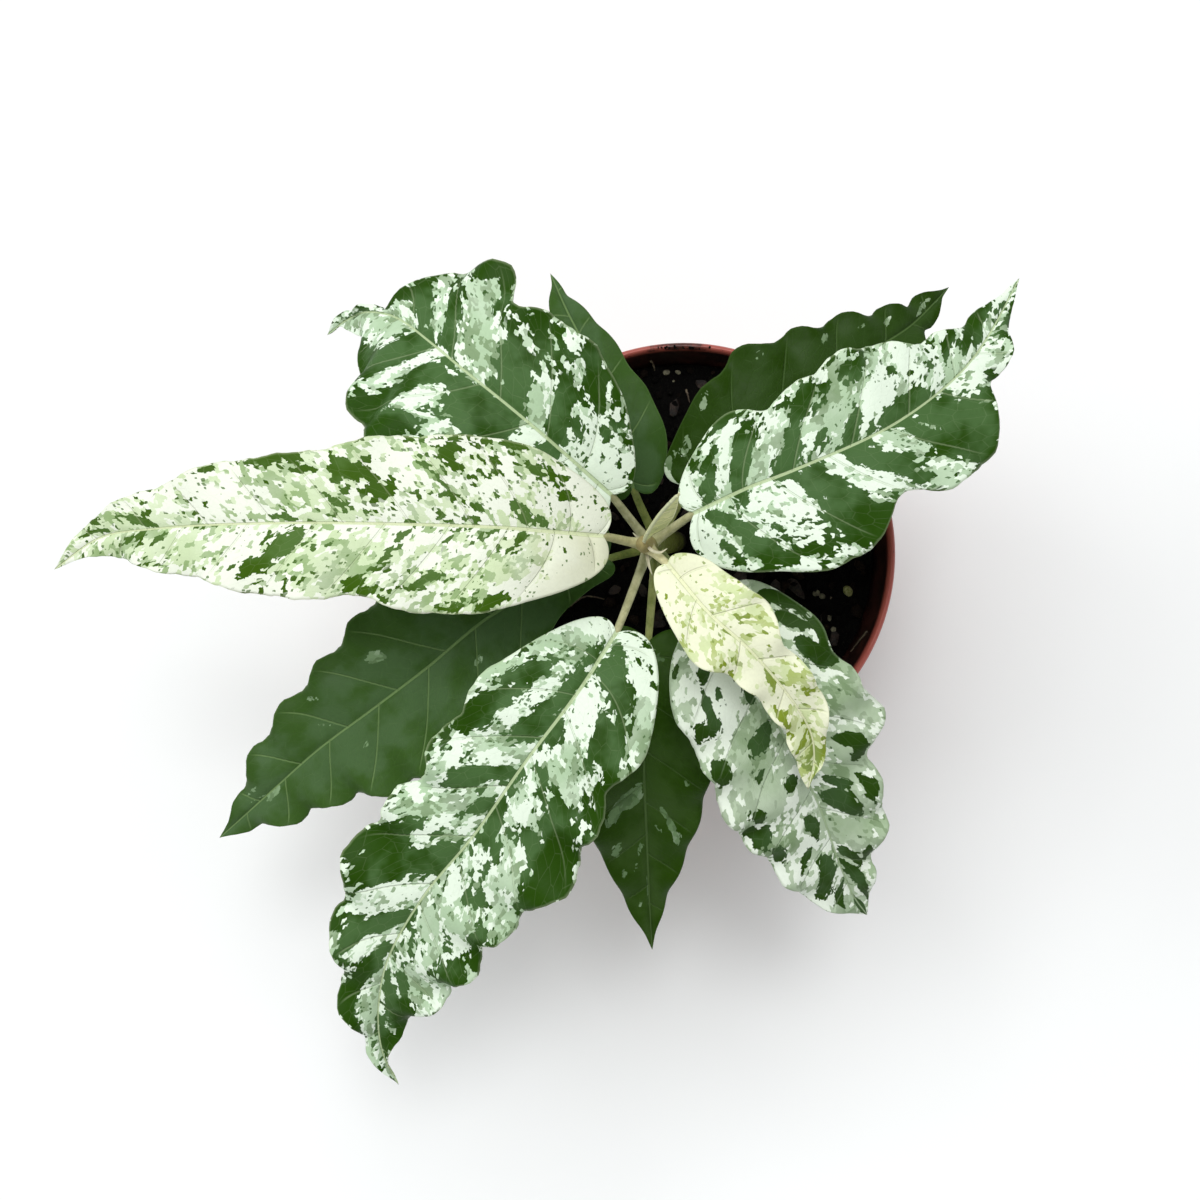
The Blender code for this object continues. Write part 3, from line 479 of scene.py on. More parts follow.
class FicusPotSettings(bpy.types.PropertyGroup):
    """Colours and fineness of the pot."""
    plastic: tint("Plastic", "Colour of the pot", (0.41, 0.094, 0.072))
    steps: whole("Steps", "Facets round the pot", 160, 24)
    ease: metres("Edge radius", "Rounding of the edges", 0.0004)


class FicusSoilSettings(bpy.types.PropertyGroup):
    """What lies in the pot."""
    # The mix's own dark colour, taken to near black as painted shade under the leaves
    earth_and_shade: tint("Earth", "Colour of the potting mix", (0.0016, 0.0012, 0.0010))
    crumbs: whole("Crumbs", "Number of loose crumbs", 900)
    chips: whole("Chips", "Number of bark chips", 60)
    seed: whole("Seed", "Start of the random draws", 11)


class FicusStageSettings(bpy.types.PropertyGroup):
    """Floor and lights. Turns are counted from +X, heights from the floor."""
    floor: tint("Floor", "Colour of the floor", (0.912, 0.931, 0.932))
    sky: strength("Sky", "Strength of the even light", 0.33)
    key: strength("Key", "Strength of the soft main light", 1.85)
    key_turn: angle("Key turn", "Where the main light stands, from +X", 108)
    key_rise: angle("Key height", "Angle of the main light above the floor", 66)
    key_spread: angle("Key spread", "Apparent size of the main light", 40)
    side: strength("Side", "Strength of the weaker side light", 0.62)
    side_turn: angle("Side turn", "Where the side light stands, from +X", 168)
    side_rise: angle("Side height", "Angle of the side light above the floor", 36)
    side_spread: angle("Side spread", "Apparent size of the side light", 24)
    top: strength("Top", "Strength of the small light overhead", 0.45)
    top_turn: angle("Top turn", "Where the overhead light stands, from +X", 84)
    top_rise: angle("Top height", "Angle of the overhead light above the floor", 72)
    top_spread: angle("Top spread", "Apparent size of the overhead light", 12)


# Paths and blades


def catmull(values, u):
    """Values at parameters u on a smooth curve through evenly numbered points."""
    points = np.asarray(values, float).reshape(len(values), -1)
    points = np.vstack([2 * points[0] - points[1], points, 2 * points[-1] - points[-2]])
    k = np.clip(np.floor(u).astype(int), 0, len(points) - 4)
    w = (u - k)[:, None]
    a, b, c, d = points[k], points[k + 1], points[k + 2], points[k + 3]
    linear = (c - a) * w
    square = (2 * a - 5 * b + 4 * c - d) * w ** 2
    cube = (3 * b - a - 3 * c + d) * w ** 3
    return 0.5 * (2 * b + linear + square + cube)


def even_path(points):
    """A smooth path through the points, resampled at even arc length, and its length."""
    curve = catmull(points, np.linspace(0, len(points) - 1, SAMPLES))
    run = np.concatenate([[0], np.cumsum(np.linalg.norm(np.diff(curve, axis=0), axis=1))])
    even = np.linspace(0, run[-1], SAMPLES)
    path = np.stack([np.interp(even, run, curve[:, i]) for i in range(3)], axis=1)
    return path, run[-1]


def unit(vectors):
    """The vectors at length 1."""
    return vectors / np.linalg.norm(vectors, axis=-1, keepdims=True)


def along(rows, s):
    """Rows of a table interpolated at fractions s of its length."""
    grid = np.linspace(0, 1, len(rows))
    return np.stack([np.interp(s, grid, rows[:, i]) for i in range(3)], axis=-1)


def leaf_frame(leaf, s):
    """Midrib points with forward, left and up directions at fractions s of the midrib."""
    path, length = even_path(leaf.midrib)
    forward = unit(np.gradient(path, axis=0))
    left = unit(np.cross((0.0, 0.0, 1.0), forward))
    up = np.cross(forward, left)
    return along(path, s), along(forward, s), along(left, s), along(up, s), length


def vein_run(u, out):
    """Where the lateral vein through a point leaves the midrib. u and out are in millimetres."""
    return u - VEIN_SLOPE * out - VEIN_CURVE * out ** 2


def blade_grid(leaf, rows, columns):
    """The blade's upper face with its veins pressed in: points, and their flat (u, v) in millimetres."""
    s = rows - BASE_CROWD * rows * (1 - rows) ** 2
    mid, forward, left, up, length = leaf_frame(leaf, s)
    x = np.clip(rows / LOBE_SPAN, 0, 1)
    lag = LOBE_LAG * x * (1 - x) ** 2
    calm = np.clip((s - CALM_START) / CALM_BASE, 0, 1) * np.clip((1 - s) / CALM_TIP, 0, 1)
    count, width, height = leaf.waves
    rise = math.tan(math.radians(leaf.fold))
    rippled = np.clip((height - RIPPLE_FROM) / RIPPLE_SPAN, 0, 1)
    grid = np.zeros((len(rows), len(columns), 3))
    flat = np.zeros((len(rows), len(columns), 2))
    for j, column in enumerate(columns):
        side, reach = (1, column) if column > 0 else (-1, -column)
        half, lobe, phase = (leaf.left, leaf.lobes[0], leaf.phase[0]) if side > 0 else \
            (leaf.right, leaf.lobes[1], leaf.phase[1])
        turn = 2 * math.pi * (count * s - phase)
        full = np.maximum(catmull(half, rows * (len(half) - 1))[:, 0], 0)
        ripple = sum(high * np.sin(pace * s * length + shift * side) for high, pace, shift in RIPPLES)
        out = (full + (width * np.cos(turn) + ripple * rippled) * calm) * reach
        lift = out * rise - leaf.droop * out * reach + height * reach ** 2 * calm * np.sin(turn)
        grid[:, j] = (mid - forward * (lobe * lag * reach)[:, None]
                      + left * (side * out)[:, None] + up * lift[:, None])
        flat[:, j] = np.stack([rows * length, side * out], axis=-1)
    return press_veins(grid, flat, rows, columns, length), flat


def press_veins(grid, flat, rows, columns, length):
    """Sinks the midrib and the laterals and lifts the leaf between them."""
    normal = np.cross(np.gradient(grid, axis=0), np.gradient(grid, axis=1))
    size = np.linalg.norm(normal, axis=-1, keepdims=True)
    normal = np.where(size > 1e-9, normal / np.maximum(size, 1e-9), 0)
    u, v = flat[..., 0], flat[..., 1]
    out = np.abs(v)
    share = np.broadcast_to(np.abs(columns), u.shape)
    ends = np.clip((1 - rows) / RELIEF_TIP, 0, 1) * np.clip(rows / RELIEF_BASE, 0, 1)
    ease = ends[:, None] * min(length / RELIEF_LENGTH, 1)
    phase = vein_run(u, out) / VEIN_PITCH + SIDE_SHIFT * np.sign(v)
    near = np.abs(phase - np.round(phase)) * VEIN_PITCH
    fade = np.clip((1 - share) / RELIEF_MARGIN, 0, 1)
    height = -RIB_GROOVE * np.exp(-(out / RIB_WIDTH) ** 2)
    height -= VEIN_GROOVE * np.exp(-(near / VEIN_WIDTH) ** 2) * fade * np.clip(out / VEIN_START, 0, 1)
    bulge = np.clip(near / (VEIN_PITCH / 2), 0, 1)
    height += QUILT * np.sin(bulge * math.pi / 2) * np.sin(np.clip(share, 0, 1) * math.pi) ** QUILT_POWER
    return grid + normal * (height * ease)[..., None]


def stroke_fields(leaf, row, column):
    """The leaf's own push on its two pigment layers at one place."""
    green, pale = leaf.base
    for at, across, long, wide, push_green, push_pale in leaf.strokes:
        lean = STROKE_LEAN * (abs(column) - abs(across) / 100)
        d = ((100 * row - at - lean) / long) ** 2 + ((100 * column - across) / wide) ** 2
        weight = math.exp(-STROKE_FALL * d ** STROKE_POWER)
        green += weight * push_green
        pale += weight * push_pale
    return green, pale


# Meshes


def add_piece(name, mesh, looks, replaced=()):
    """Links a finished mesh as a piece of the object, carried by the one body."""
    piece = bpy.data.objects.new(name, mesh)
    bpy.context.scene.collection.objects.link(piece)
    for index, look in enumerate(looks):
        if index < len(mesh.materials):
            mesh.materials[index] = look
        else:
            mesh.materials.append(look)
    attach(piece, BODY)
    if replaced:
        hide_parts(*replaced)


def shade(mesh, limit=None):
    """Smooth shading, with edges over a limiting angle left sharp."""
    mesh.shade_smooth()
    if limit is not None:
        mesh.set_sharp_from_angle(angle=limit)
    return mesh


def to_mesh(name, work):
    """The bmesh as a new mesh. The bmesh is freed."""
    mesh = bpy.data.meshes.new(name)
    work.to_mesh(mesh)
    work.free()
    return mesh


def baked(mesh, *steps):
    """The mesh with modifiers applied. A step is (modifier type, settings)."""
    carrier = bpy.data.objects.new("carrier", mesh)
    bpy.context.scene.collection.objects.link(carrier)
    for kind, settings in steps:
        modifier = carrier.modifiers.new(kind.lower(), kind)
        for key, value in settings.items():
            setattr(modifier, key, value)
    depsgraph = bpy.context.evaluated_depsgraph_get()
    done = bpy.data.meshes.new_from_object(carrier.evaluated_get(depsgraph))
    bpy.data.objects.remove(carrier)
    return done


def tube(points, radii, resolution=6):
    """A closed tube through points in millimetres: a curve with a bevel, turned into a mesh."""
    curve = bpy.data.curves.new("tube", "CURVE")
    curve.dimensions = "3D"
    curve.bevel_depth = MM
    curve.bevel_resolution = resolution
    curve.use_fill_caps = True
    line = curve.splines.new("POLY")
    line.points.add(len(points) - 1)
    for spot, place, radius in zip(line.points, points, radii):
        spot.co = (*(Vector(place) * MM), 1)
        spot.radius = radius
    guide = bpy.data.objects.new("tube", curve)
    bpy.context.scene.collection.objects.link(guide)
    depsgraph = bpy.context.evaluated_depsgraph_get()
    mesh = bpy.data.meshes.new_from_object(guide.evaluated_get(depsgraph))
    bpy.data.objects.remove(guide)
    work = bmesh.new()
    work.from_mesh(mesh)
    bmesh.ops.remove_doubles(work, verts=work.verts, dist=1e-6)
    bmesh.ops.recalc_face_normals(work, faces=work.faces)
    work.to_mesh(mesh)
    work.free()
    return mesh


def joined(name, *parts):
    """One mesh from several. A part is (mesh, first material index)."""
    work = bmesh.new()
    for mesh, index in parts:
        start = len(work.faces)
        work.from_mesh(mesh)
        work.faces.ensure_lookup_table()
        for face in work.faces[start:]:
            face.material_index += index
            face.smooth = True
    return to_mesh(name, work)


def blade_mesh(leaf, pitch, side_cells, thickness=BLADE_THICK):
    """The blade as a thin closed shell. Its under side carries the next material."""
    _, length = even_path(leaf.midrib)
    row_cells = round(length * MM / pitch)
    rows = np.linspace(0, 1, row_cells + 1)
    columns = np.linspace(-1, 1, 2 * side_cells + 1)
    grid, flat = blade_grid(leaf, rows, columns)
    work = bmesh.new()
    bmesh.ops.create_grid(work, x_segments=row_cells, y_segments=2 * side_cells, size=1)
    layers = [work.verts.layers.float.new(key) for key in ("green", "pale", "along", "margin")]
    cells = {}
    for vertex in work.verts:
        i = round((vertex.co.x + 1) / 2 * row_cells)
        j = round((vertex.co.y + 1) / 2 * 2 * side_cells)
        cells[vertex] = flat[i, j] * MM
        vertex.co = Vector(grid[i, j]) * MM
        values = (*stroke_fields(leaf, rows[i], columns[j]), rows[i], abs(columns[j]))
        for layer, value in zip(layers, values):
            vertex[layer] = value
    unwrapped = work.loops.layers.uv.new("flat")
    for face in work.faces:
        for loop in face.loops:
            loop[unwrapped].uv = cells[loop.vert]
    bmesh.ops.remove_doubles(work, verts=work.verts, dist=1e-5)
    mesh = to_mesh(leaf.name, work)
    for _ in ("upper", "under"):
        mesh.materials.append(None)
    return baked(mesh, ("SOLIDIFY", {"thickness": thickness * MM, "offset": -1, "material_offset": 1}))


def stem_at(z):
    """Centre and radius of the stem at a height."""
    u = np.linspace(0, len(STEM_AXIS) - 1, STEM_SAMPLES)
    axis, radii = catmull(STEM_AXIS, u), np.interp(u, range(len(STEM_RADII)), STEM_RADII)
    centre = np.array([np.interp(z, axis[:, 2], axis[:, i]) for i in range(2)] + [z])
    return centre, float(np.interp(z, axis[:, 2], radii))


def petiole_mesh(leaf):
    """The petiole, which runs on under the blade as its raised midrib."""
    mid, forward, _, up, _ = leaf_frame(leaf, np.linspace(0, RIB_REACH, RIB_STEPS))
    centre, radius = stem_at(leaf.node_z)
    away = mid[0] - centre
    away[2] = 0
    out = unit(away)
    start = centre + out * (radius - STALK_ROOT)
    end = mid[0] - up[0] * STALK_DROP
    reach = np.linalg.norm(end - start)
    leave = unit(out + np.array((0.0, 0.0, STALK_RISE)))
    arrive = unit(forward[0] + 2 * (end - start) / reach)
    bend = interpolate_bezier(Vector(start), Vector(start + leave * PETIOLE_EASE * reach),
                              Vector(end - arrive * BLADE_EASE * reach), Vector(end), STALK_STEPS)
    stalk = np.interp(np.linspace(0, 1, STALK_STEPS), STALK_SHARES, STALK_RADII)
    under = np.linspace(0, 1, RIB_STEPS)[1:]
    rib = RIB_TAPER * (1 - under) + RIB_TIP
    depth = BLADE_THICK + 0.5 * RIB_GROOVE + rib * RIB_SINK
    points = bend + [Vector(mid[i + 1] - up[i + 1] * depth[i]) for i in range(RIB_STEPS - 1)]
    return tube(points, [*stalk, *rib])


# Materials


class Signal:
    """A shader socket that takes part in Python expressions."""

    def __init__(self, look, socket):
        self.look, self.socket = look, socket

    def other(self, name):
        """Another output of the same node."""
        return Signal(self.look, self.socket.node.outputs[name])

    def __add__(self, value):
        return self.look.math("ADD", self, value)

    def __sub__(self, value):
        return self.look.math("SUBTRACT", self, value)

    def __rsub__(self, value):
        return self.look.math("SUBTRACT", value, self)

    def __mul__(self, value):
        return self.look.math("MULTIPLY", self, value)

    def __truediv__(self, value):
        return self.look.math("DIVIDE", self, value)

    def __rtruediv__(self, value):
        return self.look.math("DIVIDE", value, self)

    def __neg__(self):
        return self.look.math("MULTIPLY", self, -1)

    def __abs__(self):
        return self.look.math("ABSOLUTE", self)

    __radd__ = __add__
    __rmul__ = __mul__


class Look:
    """A Principled material under construction."""

    def __init__(self, name, **constants):
        self.material = bpy.data.materials.new(name)
        self.material.use_nodes = True
        self.tree = self.material.node_tree
        self.shader = self.tree.nodes["Principled BSDF"]
        for key, value in constants.items():
            self.shader.inputs[key.replace("_", " ")].default_value = value

    def node(self, kind, settings=None, values=None, output=0):
        """Adds a node: its settings first, then the values or links of its sockets."""
        made = self.tree.nodes.new("ShaderNode" + kind)
        for key, value in (settings or {}).items():
            setattr(made, key, value)
        for key, value in (values or {}).items():
            if isinstance(value, Signal):
                self.tree.links.new(value.socket, made.inputs[key])
            else:
                made.inputs[key].default_value = value
        return Signal(self, made.outputs[output])

    def math(self, operation, *values):
        """One step of arithmetic on values or signals."""
        return self.node("Math", {"operation": operation}, dict(enumerate(values)))

    def vector(self, x, y, z=0.0):
        """A vector from its parts."""
        return self.node("CombineXYZ", None, {0: x, 1: y, 2: z})

    def split(self, vector):
        """The X part of a vector, with Y and Z as other outputs."""
        return self.node("SeparateXYZ", None, {0: vector})

    def place(self):
        """The place on the object, in metres."""
        return self.node("TexCoord", None, None, "Object")

    def attribute(self, name):
        """A value that the mesh carries at its points."""
        return self.node("Attribute", {"attribute_name": name}, output="Fac")

    def noise(self, vector, size, detail=2.0, roughness=0.5):
        """Noise of about 0..1 with features of a size in the vector's own unit."""
        return self.node("TexNoise", {"noise_dimensions": "3D"},
                         {"Vector": vector, "Scale": 1 / size, "Detail": detail, "Roughness": roughness})

    def step(self, value, low, high, start=0.0, end=1.0):
        """A smooth step of a value from low to high."""
        return self.node("MapRange", {"interpolation_type": "SMOOTHSTEP"},
                         {"Value": value, "From Min": low, "From Max": high, "To Min": start, "To Max": end})

    def mix(self, factor, first, second, blend="MIX"):
        """A colour between two, or another blend of them."""
        first, second = ((*c, 1) if isinstance(c, tuple) else c for c in (first, second))
        return self.node("Mix", {"data_type": "RGBA", "blend_type": blend},
                         {0: factor, 6: first, 7: second}, output=2)

    def tone(self, colour, amount):
        """A colour made darker or lighter by an amount round 1."""
        grey = self.node("CombineColor", None, {0: amount, 1: amount, 2: amount})
        return self.mix(1.0, colour, grey, "MULTIPLY")

    def finish(self, colour, roughness=None, height=None, depth=0.0003):
        """Links the results to the shader and returns the material."""
        self.tree.links.new(colour.socket, self.shader.inputs["Base Color"])
        if roughness is not None:
            self.tree.links.new(roughness.socket, self.shader.inputs["Roughness"])
        if height is not None:
            bump = self.node("Bump", None, {"Strength": 1.0, "Distance": depth, "Height": height})
            self.tree.links.new(bump.socket, self.shader.inputs["Normal"])
        return self.material


@dataclass
class Palette:
    """Finishes of one kind of leaf, in linear colour."""
    bare: tuple       # no pigment
    pale: tuple       # a thin lower green layer
    sage: tuple       # a thicker one
    deep: tuple       # both layers, with a painted bluish sheen of the sky
    rich: tuple       # both, yellower for lack of the painted sheen, mostly near the margin where the blade turns away from it
    rib: tuple        # midrib and laterals
    speckle: float    # share of dark flecks in the bare parts
    vein: float       # how clearly the laterals show
    contrast: float   # how much chance shapes the markings
    ivory: float = 0.0    # how far the base goes to ivory
    net: float = 0.03     # how clearly the fine net of veins shows
    weave: float = 0.33   # cells of that net in a millimetre
    rim: float = 0.3      # how clearly a paler line follows the margin


def palettes(settings):
    """The palette of each kind of leaf."""
    cream, white, mint, deep, rich = (tuple(getattr(settings, key)) for key in
                                      ("cream", "white", "mint", "deep", "rich"))
    return {
        "cream": Palette(cream, (0.60, 0.73, 0.45), (0.31, 0.45, 0.20), (0.082, 0.165, 0.034),
                         (0.045, 0.110, 0.004), (0.66, 0.74, 0.44), 0.40, 0.15, 4.2, 0.6),
        "marbled": Palette(white, mint, (0.235, 0.345, 0.185), deep, rich, (0.50, 0.62, 0.35),
                           0.52, 0.2, 3.6),
        # shaded: darker greens, painted shade under the upper leaves
        "shaded": Palette((0.80, 0.88, 0.76), (0.35, 0.47, 0.29), (0.21, 0.31, 0.16), (0.045, 0.096, 0.028),
                          (0.022, 0.060, 0.004), (0.36, 0.48, 0.28), 0.1, 0.2, 2.8),
        # dark: the leaf's own dark green, darkened further as painted shade under the upper leaves
        "dark": Palette((0.50, 0.60, 0.45), (0.17, 0.26, 0.13), (0.10, 0.17, 0.07), (0.027, 0.062, 0.010),
                        (0.017, 0.047, 0.002), (0.085, 0.15, 0.045), 0.0, 0.4, 3.0),
        # lower: like dark, with lighter greens that paint light to offset the shade the bottom leaf gets from
        # the leaves above
        "lower": Palette((0.24, 0.35, 0.20), (0.14, 0.24, 0.10), (0.085, 0.155, 0.058), (0.038, 0.086, 0.012),
                         (0.023, 0.064, 0.002), (0.085, 0.15, 0.045), 0.0, 0.4, 3.0),
        "green": Palette((0.30, 0.42, 0.26), (0.19, 0.30, 0.15), (0.12, 0.20, 0.09), (0.064, 0.125, 0.044),
                         (0.040, 0.094, 0.016), (0.17, 0.27, 0.10), 0.0, 0.55, 2.2),
        "young": Palette((0.86, 0.89, 0.66), (0.64, 0.74, 0.40), (0.42, 0.52, 0.16), (0.24, 0.33, 0.08),
                         (0.22, 0.30, 0.03), (0.80, 0.84, 0.54), 0.22, 0.4, 3.6, 0.3, 0.08),
        "sheath": Palette((0.66, 0.65, 0.42), (0.58, 0.56, 0.34), (0.5, 0.48, 0.27), (0.3, 0.32, 0.15),
                          (0.3, 0.32, 0.15), (0.7, 0.66, 0.5), 0.0, 0.1, 1.6),
        "bud": Palette((0.82, 0.82, 0.44), (0.72, 0.75, 0.37), (0.56, 0.61, 0.28), (0.2, 0.26, 0.08),
                       (0.2, 0.26, 0.06), (0.96, 0.93, 0.62), 0.1, 0.8, 2.6, 0.0, 0.7, 0.75, 0.9),
    }


def leaf_look(name, palette, settings, seed, under=False):
    """A leaf's skin. Two pigment layers end in stepped edges along the veins, as in a chimera."""
    look = Look(name, Roughness=0.45, Specular_IOR_Level=0.07)
    flat = look.node("UVMap", {"uv_map": "flat"})
    spot = look.split(flat)
    u, v = spot * (1 / MM), spot.other("Y") * (1 / MM)
    side, out = look.math("SIGN", v), abs(v)
    run = u - out * VEIN_SLOPE - out * out * VEIN_CURVE
    far = side * 9.0 + seed
    slant = look.vector(u - out * 0.4, v, far)
    wobble = look.noise(slant, 2.0, 2.0)
    shift = look.node("VectorMath", {"operation": "SCALE"}, {0: wobble.other("Color"), "Scale": 1.4})
    bent = look.node("VectorMath", {"operation": "ADD"}, {0: slant, 1: shift})
    cells = look.node("TexVoronoi", {"voronoi_dimensions": "2D", "distance": "CHEBYCHEV"},
                      {"Vector": bent, "Scale": MM / settings.cell}, "Position")
    grain = look.split(cells)

    def layer(offset, large, small):
        """Noise in steps, from -1 to 1 or so: large patches and small islands."""
        spot = look.vector(grain, grain.other("Y"), far + offset)
        return (look.noise(spot, large, 2.0, 0.55) - 0.5) * palette.contrast + \
            (look.noise(spot, small, 2.0, 0.7) - 0.5) * (1.8 * palette.contrast)

    pushes = {key: look.attribute(key) for key in ("green", "pale", "along", "margin")}
    patch = settings.patch / MM
    green = layer(0.0, patch, patch * 0.24) + pushes["green"]
    has_green = look.step(green, -0.05, 0.05)
    has_pale = look.step(layer(31.7, patch * 0.8, patch * 0.26) + pushes["pale"], -0.05, 0.05)
    thick = look.step(layer(57.3, patch, patch * 0.3), 0.10, 0.2)

    crowd = look.step(look.noise(look.vector(run, v, far + 5), 7.0, 2.0), 0.40, 0.66, 0.12, 1.0)
    dots = look.node("TexVoronoi", {"voronoi_dimensions": "2D", "distance": "CHEBYCHEV"},
                     {"Vector": bent, "Scale": 0.85})
    draw = look.node("SeparateColor", None, {0: dots.other("Color")})
    size = draw.other("Green") * 0.34
    speck = look.step(dots - size, 0.02, -0.02) * look.step(draw - crowd * palette.speckle, 0.01, -0.01)
    drift = look.noise(look.vector(u, v, far), 11.0, 3.0, 0.55)
    fine = look.noise(look.vector(u, v, far), 0.9, 3.0, 0.6)

    pale = look.mix(thick, palette.pale, palette.sage)
    colour = look.mix(has_pale, palette.bare, look.mix(look.step(drift, 0.35, 0.7) * 0.3, pale, palette.bare))
    edge = pushes["margin"] * pushes["margin"]
    # Painted sheen: deep holds the sky's bluish sheen, rich the green without it, mixed by noise and more
    # towards the margin
    greens_and_painted_sheen = look.mix(look.step(drift + edge * 0.24, 0.47, 0.70), palette.deep, palette.rich)
    blush = look.step(pushes["along"] + drift * 0.2, 0.42, 0.18) * (side * 0.35 + 0.65) * palette.ivory
    colour = look.mix(blush, colour, IVORY)
    colour = look.mix(speck * 0.85 * (1 - has_green), colour, palette.deep)
    colour = look.mix(has_green, colour, greens_and_painted_sheen)

    phase = run / VEIN_PITCH + side * SIDE_SHIFT
    near = look.math("PINGPONG", phase, 0.5) * VEIN_PITCH
    fade = look.step(pushes["margin"], 1.0, 0.7) * look.step(pushes["along"], 0.97, 0.9)
    lateral = look.step(near, 0.42, 0.1) * fade
    net_cells = look.node("TexVoronoi", {"voronoi_dimensions": "2D", "feature": "DISTANCE_TO_EDGE"},
                          {"Vector": look.vector(run, v * 0.9), "Scale": palette.weave})
    net = look.step(net_cells, 0.045, 0.0)
    width = 0.5 - pushes["along"] * 0.36
    rib = look.step(out - width, 0.12, -0.08)
    colour = look.mix(net * (palette.net + has_green * 0.03), colour, palette.rib)
    colour = look.mix(lateral * palette.vein, colour, palette.rib)
    colour = look.mix(rib * 0.85, colour, palette.rib)
    line = look.step(pushes["margin"], 1.01 - 0.15 * palette.rim, 1.0)
    colour = look.mix(line * palette.rim, colour, palette.rib)
    if under:
        colour = look.mix(0.45, colour, UNDERSIDE)
    colour = look.tone(colour, fine * 0.14 + 0.93)
    height = fine * 0.25 - net * 0.12 - lateral * 0.8 - rib * 0.6 + drift * 0.8
    if under:
        height = -height
    roughness = fine * 0.12 + (0.52 if under else 0.38)
    return look.finish(colour, roughness, height, 0.00022)


def stalk_look(name, upper, lower):
    """Petiole skin: paler along its length with fine streaks and small specks."""
    look = Look(name, Specular_IOR_Level=0.35)
    spot = look.place()
    streak = look.noise(spot, 0.004, 3.0, 0.6)
    fine = look.noise(spot, 0.0006, 3.0, 0.6)
    colour = look.mix(look.step(streak, 0.35, 0.65), lower, upper)
    colour = look.tone(colour, fine * 0.3 + 0.85)
    return look.finish(colour, fine * 0.15 + 0.4, fine + streak, 0.00015)


def bark_look():
    """Young green stem going brown at its foot, with painted shade taking it to near black just above the
    soil, and pale breathing pores.
    """
    look = Look("stem_bark", Specular_IOR_Level=0.3)
    spot = look.place()
    z = look.split(spot).other("Z")
    patch = look.noise(spot, 0.006, 3.0, 0.6)
    fine = look.noise(spot, 0.0008, 4.0, 0.65)
    brown = look.step(z + patch * 0.03, 0.116, 0.100)
    colour = look.mix(brown, BARK_GREEN, BARK_BROWN)
    # Painted shade: the stem goes near black just above the soil
    colour = look.mix(look.step(z + patch * 0.014, 0.118, 0.102), colour, BARK_FOOT_PAINTED_SHADE)
    colour = look.mix(look.step(z + patch * 0.02, 0.165, 0.182), colour, BARK_TIP)
    pores = look.node("TexVoronoi", None, {"Vector": spot, "Scale": 420.0})
    pore = look.step(pores, 0.2, 0.1)
    colour = look.mix(pore * 0.35, colour, PORE)
    colour = look.tone(colour, fine * 0.7 + 0.65)
    return look.finish(colour, fine * 0.2 + 0.5, fine + pore, 0.0003)


def plastic_look(settings):
    """Thin moulded plastic with a faint grain, dull scuffs, dark specks and a smudge up at the rim, and
    painted shade with a faint soil smear over the inner wall.
    """
    look = Look("pot_plastic", Specular_IOR_Level=0.4)
    spot = look.place()
    broad = look.noise(spot, 0.03, 3.0, 0.6)
    grain = look.noise(spot, 0.0007, 2.0, 0.5)
    drawn = look.node("Mapping", None, {"Vector": spot, "Scale": (1.0, 1.0, 0.12)})
    scuff = look.noise(drawn, 0.004, 5.0, 0.7)
    worn = look.step(scuff, 0.58, 0.75)
    darker, lighter = (tuple(share * c for c in settings.plastic) for share in (0.9, 1.1))
    colour = look.mix(worn * 0.25, look.mix(broad, darker, lighter), SCUFF)
    place = look.split(spot)
    z = place.other("Z")
    speck = look.step(look.noise(spot, 0.0022, 3.0, 0.7), 0.66, 0.72) * look.step(z, 0.095, 0.101)
    colour = look.mix(speck * 0.7, colour, POT_SPECK)
    blot = look.noise(spot, 0.0035, 4.0, 0.7)
    near = look.step(abs(place + 0.0015), 0.016, 0.001) * look.step(place.other("Y"), 0.050, 0.056)
    on_lip = look.step(z + blot * 0.002, 0.1040, 0.1052)
    smudge = look.step(near * on_lip + blot * 2.0, 1.4, 2.0)
    colour = look.mix(smudge * 0.85, colour, SMUDGE)
    # The inner wall below the lip goes near black: painted shade inside the pot, with a faint soil smear
    soiled = look.attribute("soiled")
    smear = look.noise(spot, 0.007, 4.0, 0.65)
    colour = look.mix(soiled * look.step(smear, 0.3, 0.6, 0.9, 0.98), colour, INNER_SHADE_AND_SOIL)
    return look.finish(colour, worn * 0.2 + grain * 0.1 + 0.36, grain * 0.5 + worn, 0.0001)


def soil_look(name, base, light, spread):
    """Potting mix: dark, and taken to near black as painted shade under the leaves, with brown fibres and a
    little moisture sheen.
    """
    look = Look(name, Specular_IOR_Level=0.08)
    spot = look.place()
    broad = look.noise(spot, 0.006, 4.0, 0.65)
    fine = look.noise(spot, 0.0007, 4.0, 0.7)
    lot = look.attribute("lot")
    colour = look.mix(look.step(lot * spread + broad * 0.5, 0.35, 1.3), base, light)
    colour = look.tone(colour, fine * 1.1 + 0.45)
    return look.finish(colour, look.step(broad, 0.35, 0.7, 0.55, 0.95), fine + broad, 0.0009)


def bit_look(name, first, second, size, depth=0.0002):
    """A small bit's skin with two mixed tones."""
    look = Look(name, Specular_IOR_Level=0.35)
    spot = look.place()
    patch = look.noise(spot, size, 3.0, 0.6)
    fine = look.noise(spot, size * 0.2, 3.0, 0.6)
    colour = look.tone(look.mix(look.step(patch, 0.4, 0.6), first, second), fine * 0.5 + 0.75)
    return look.finish(colour, fine * 0.3 + 0.45, fine, depth)


# Pot and soil


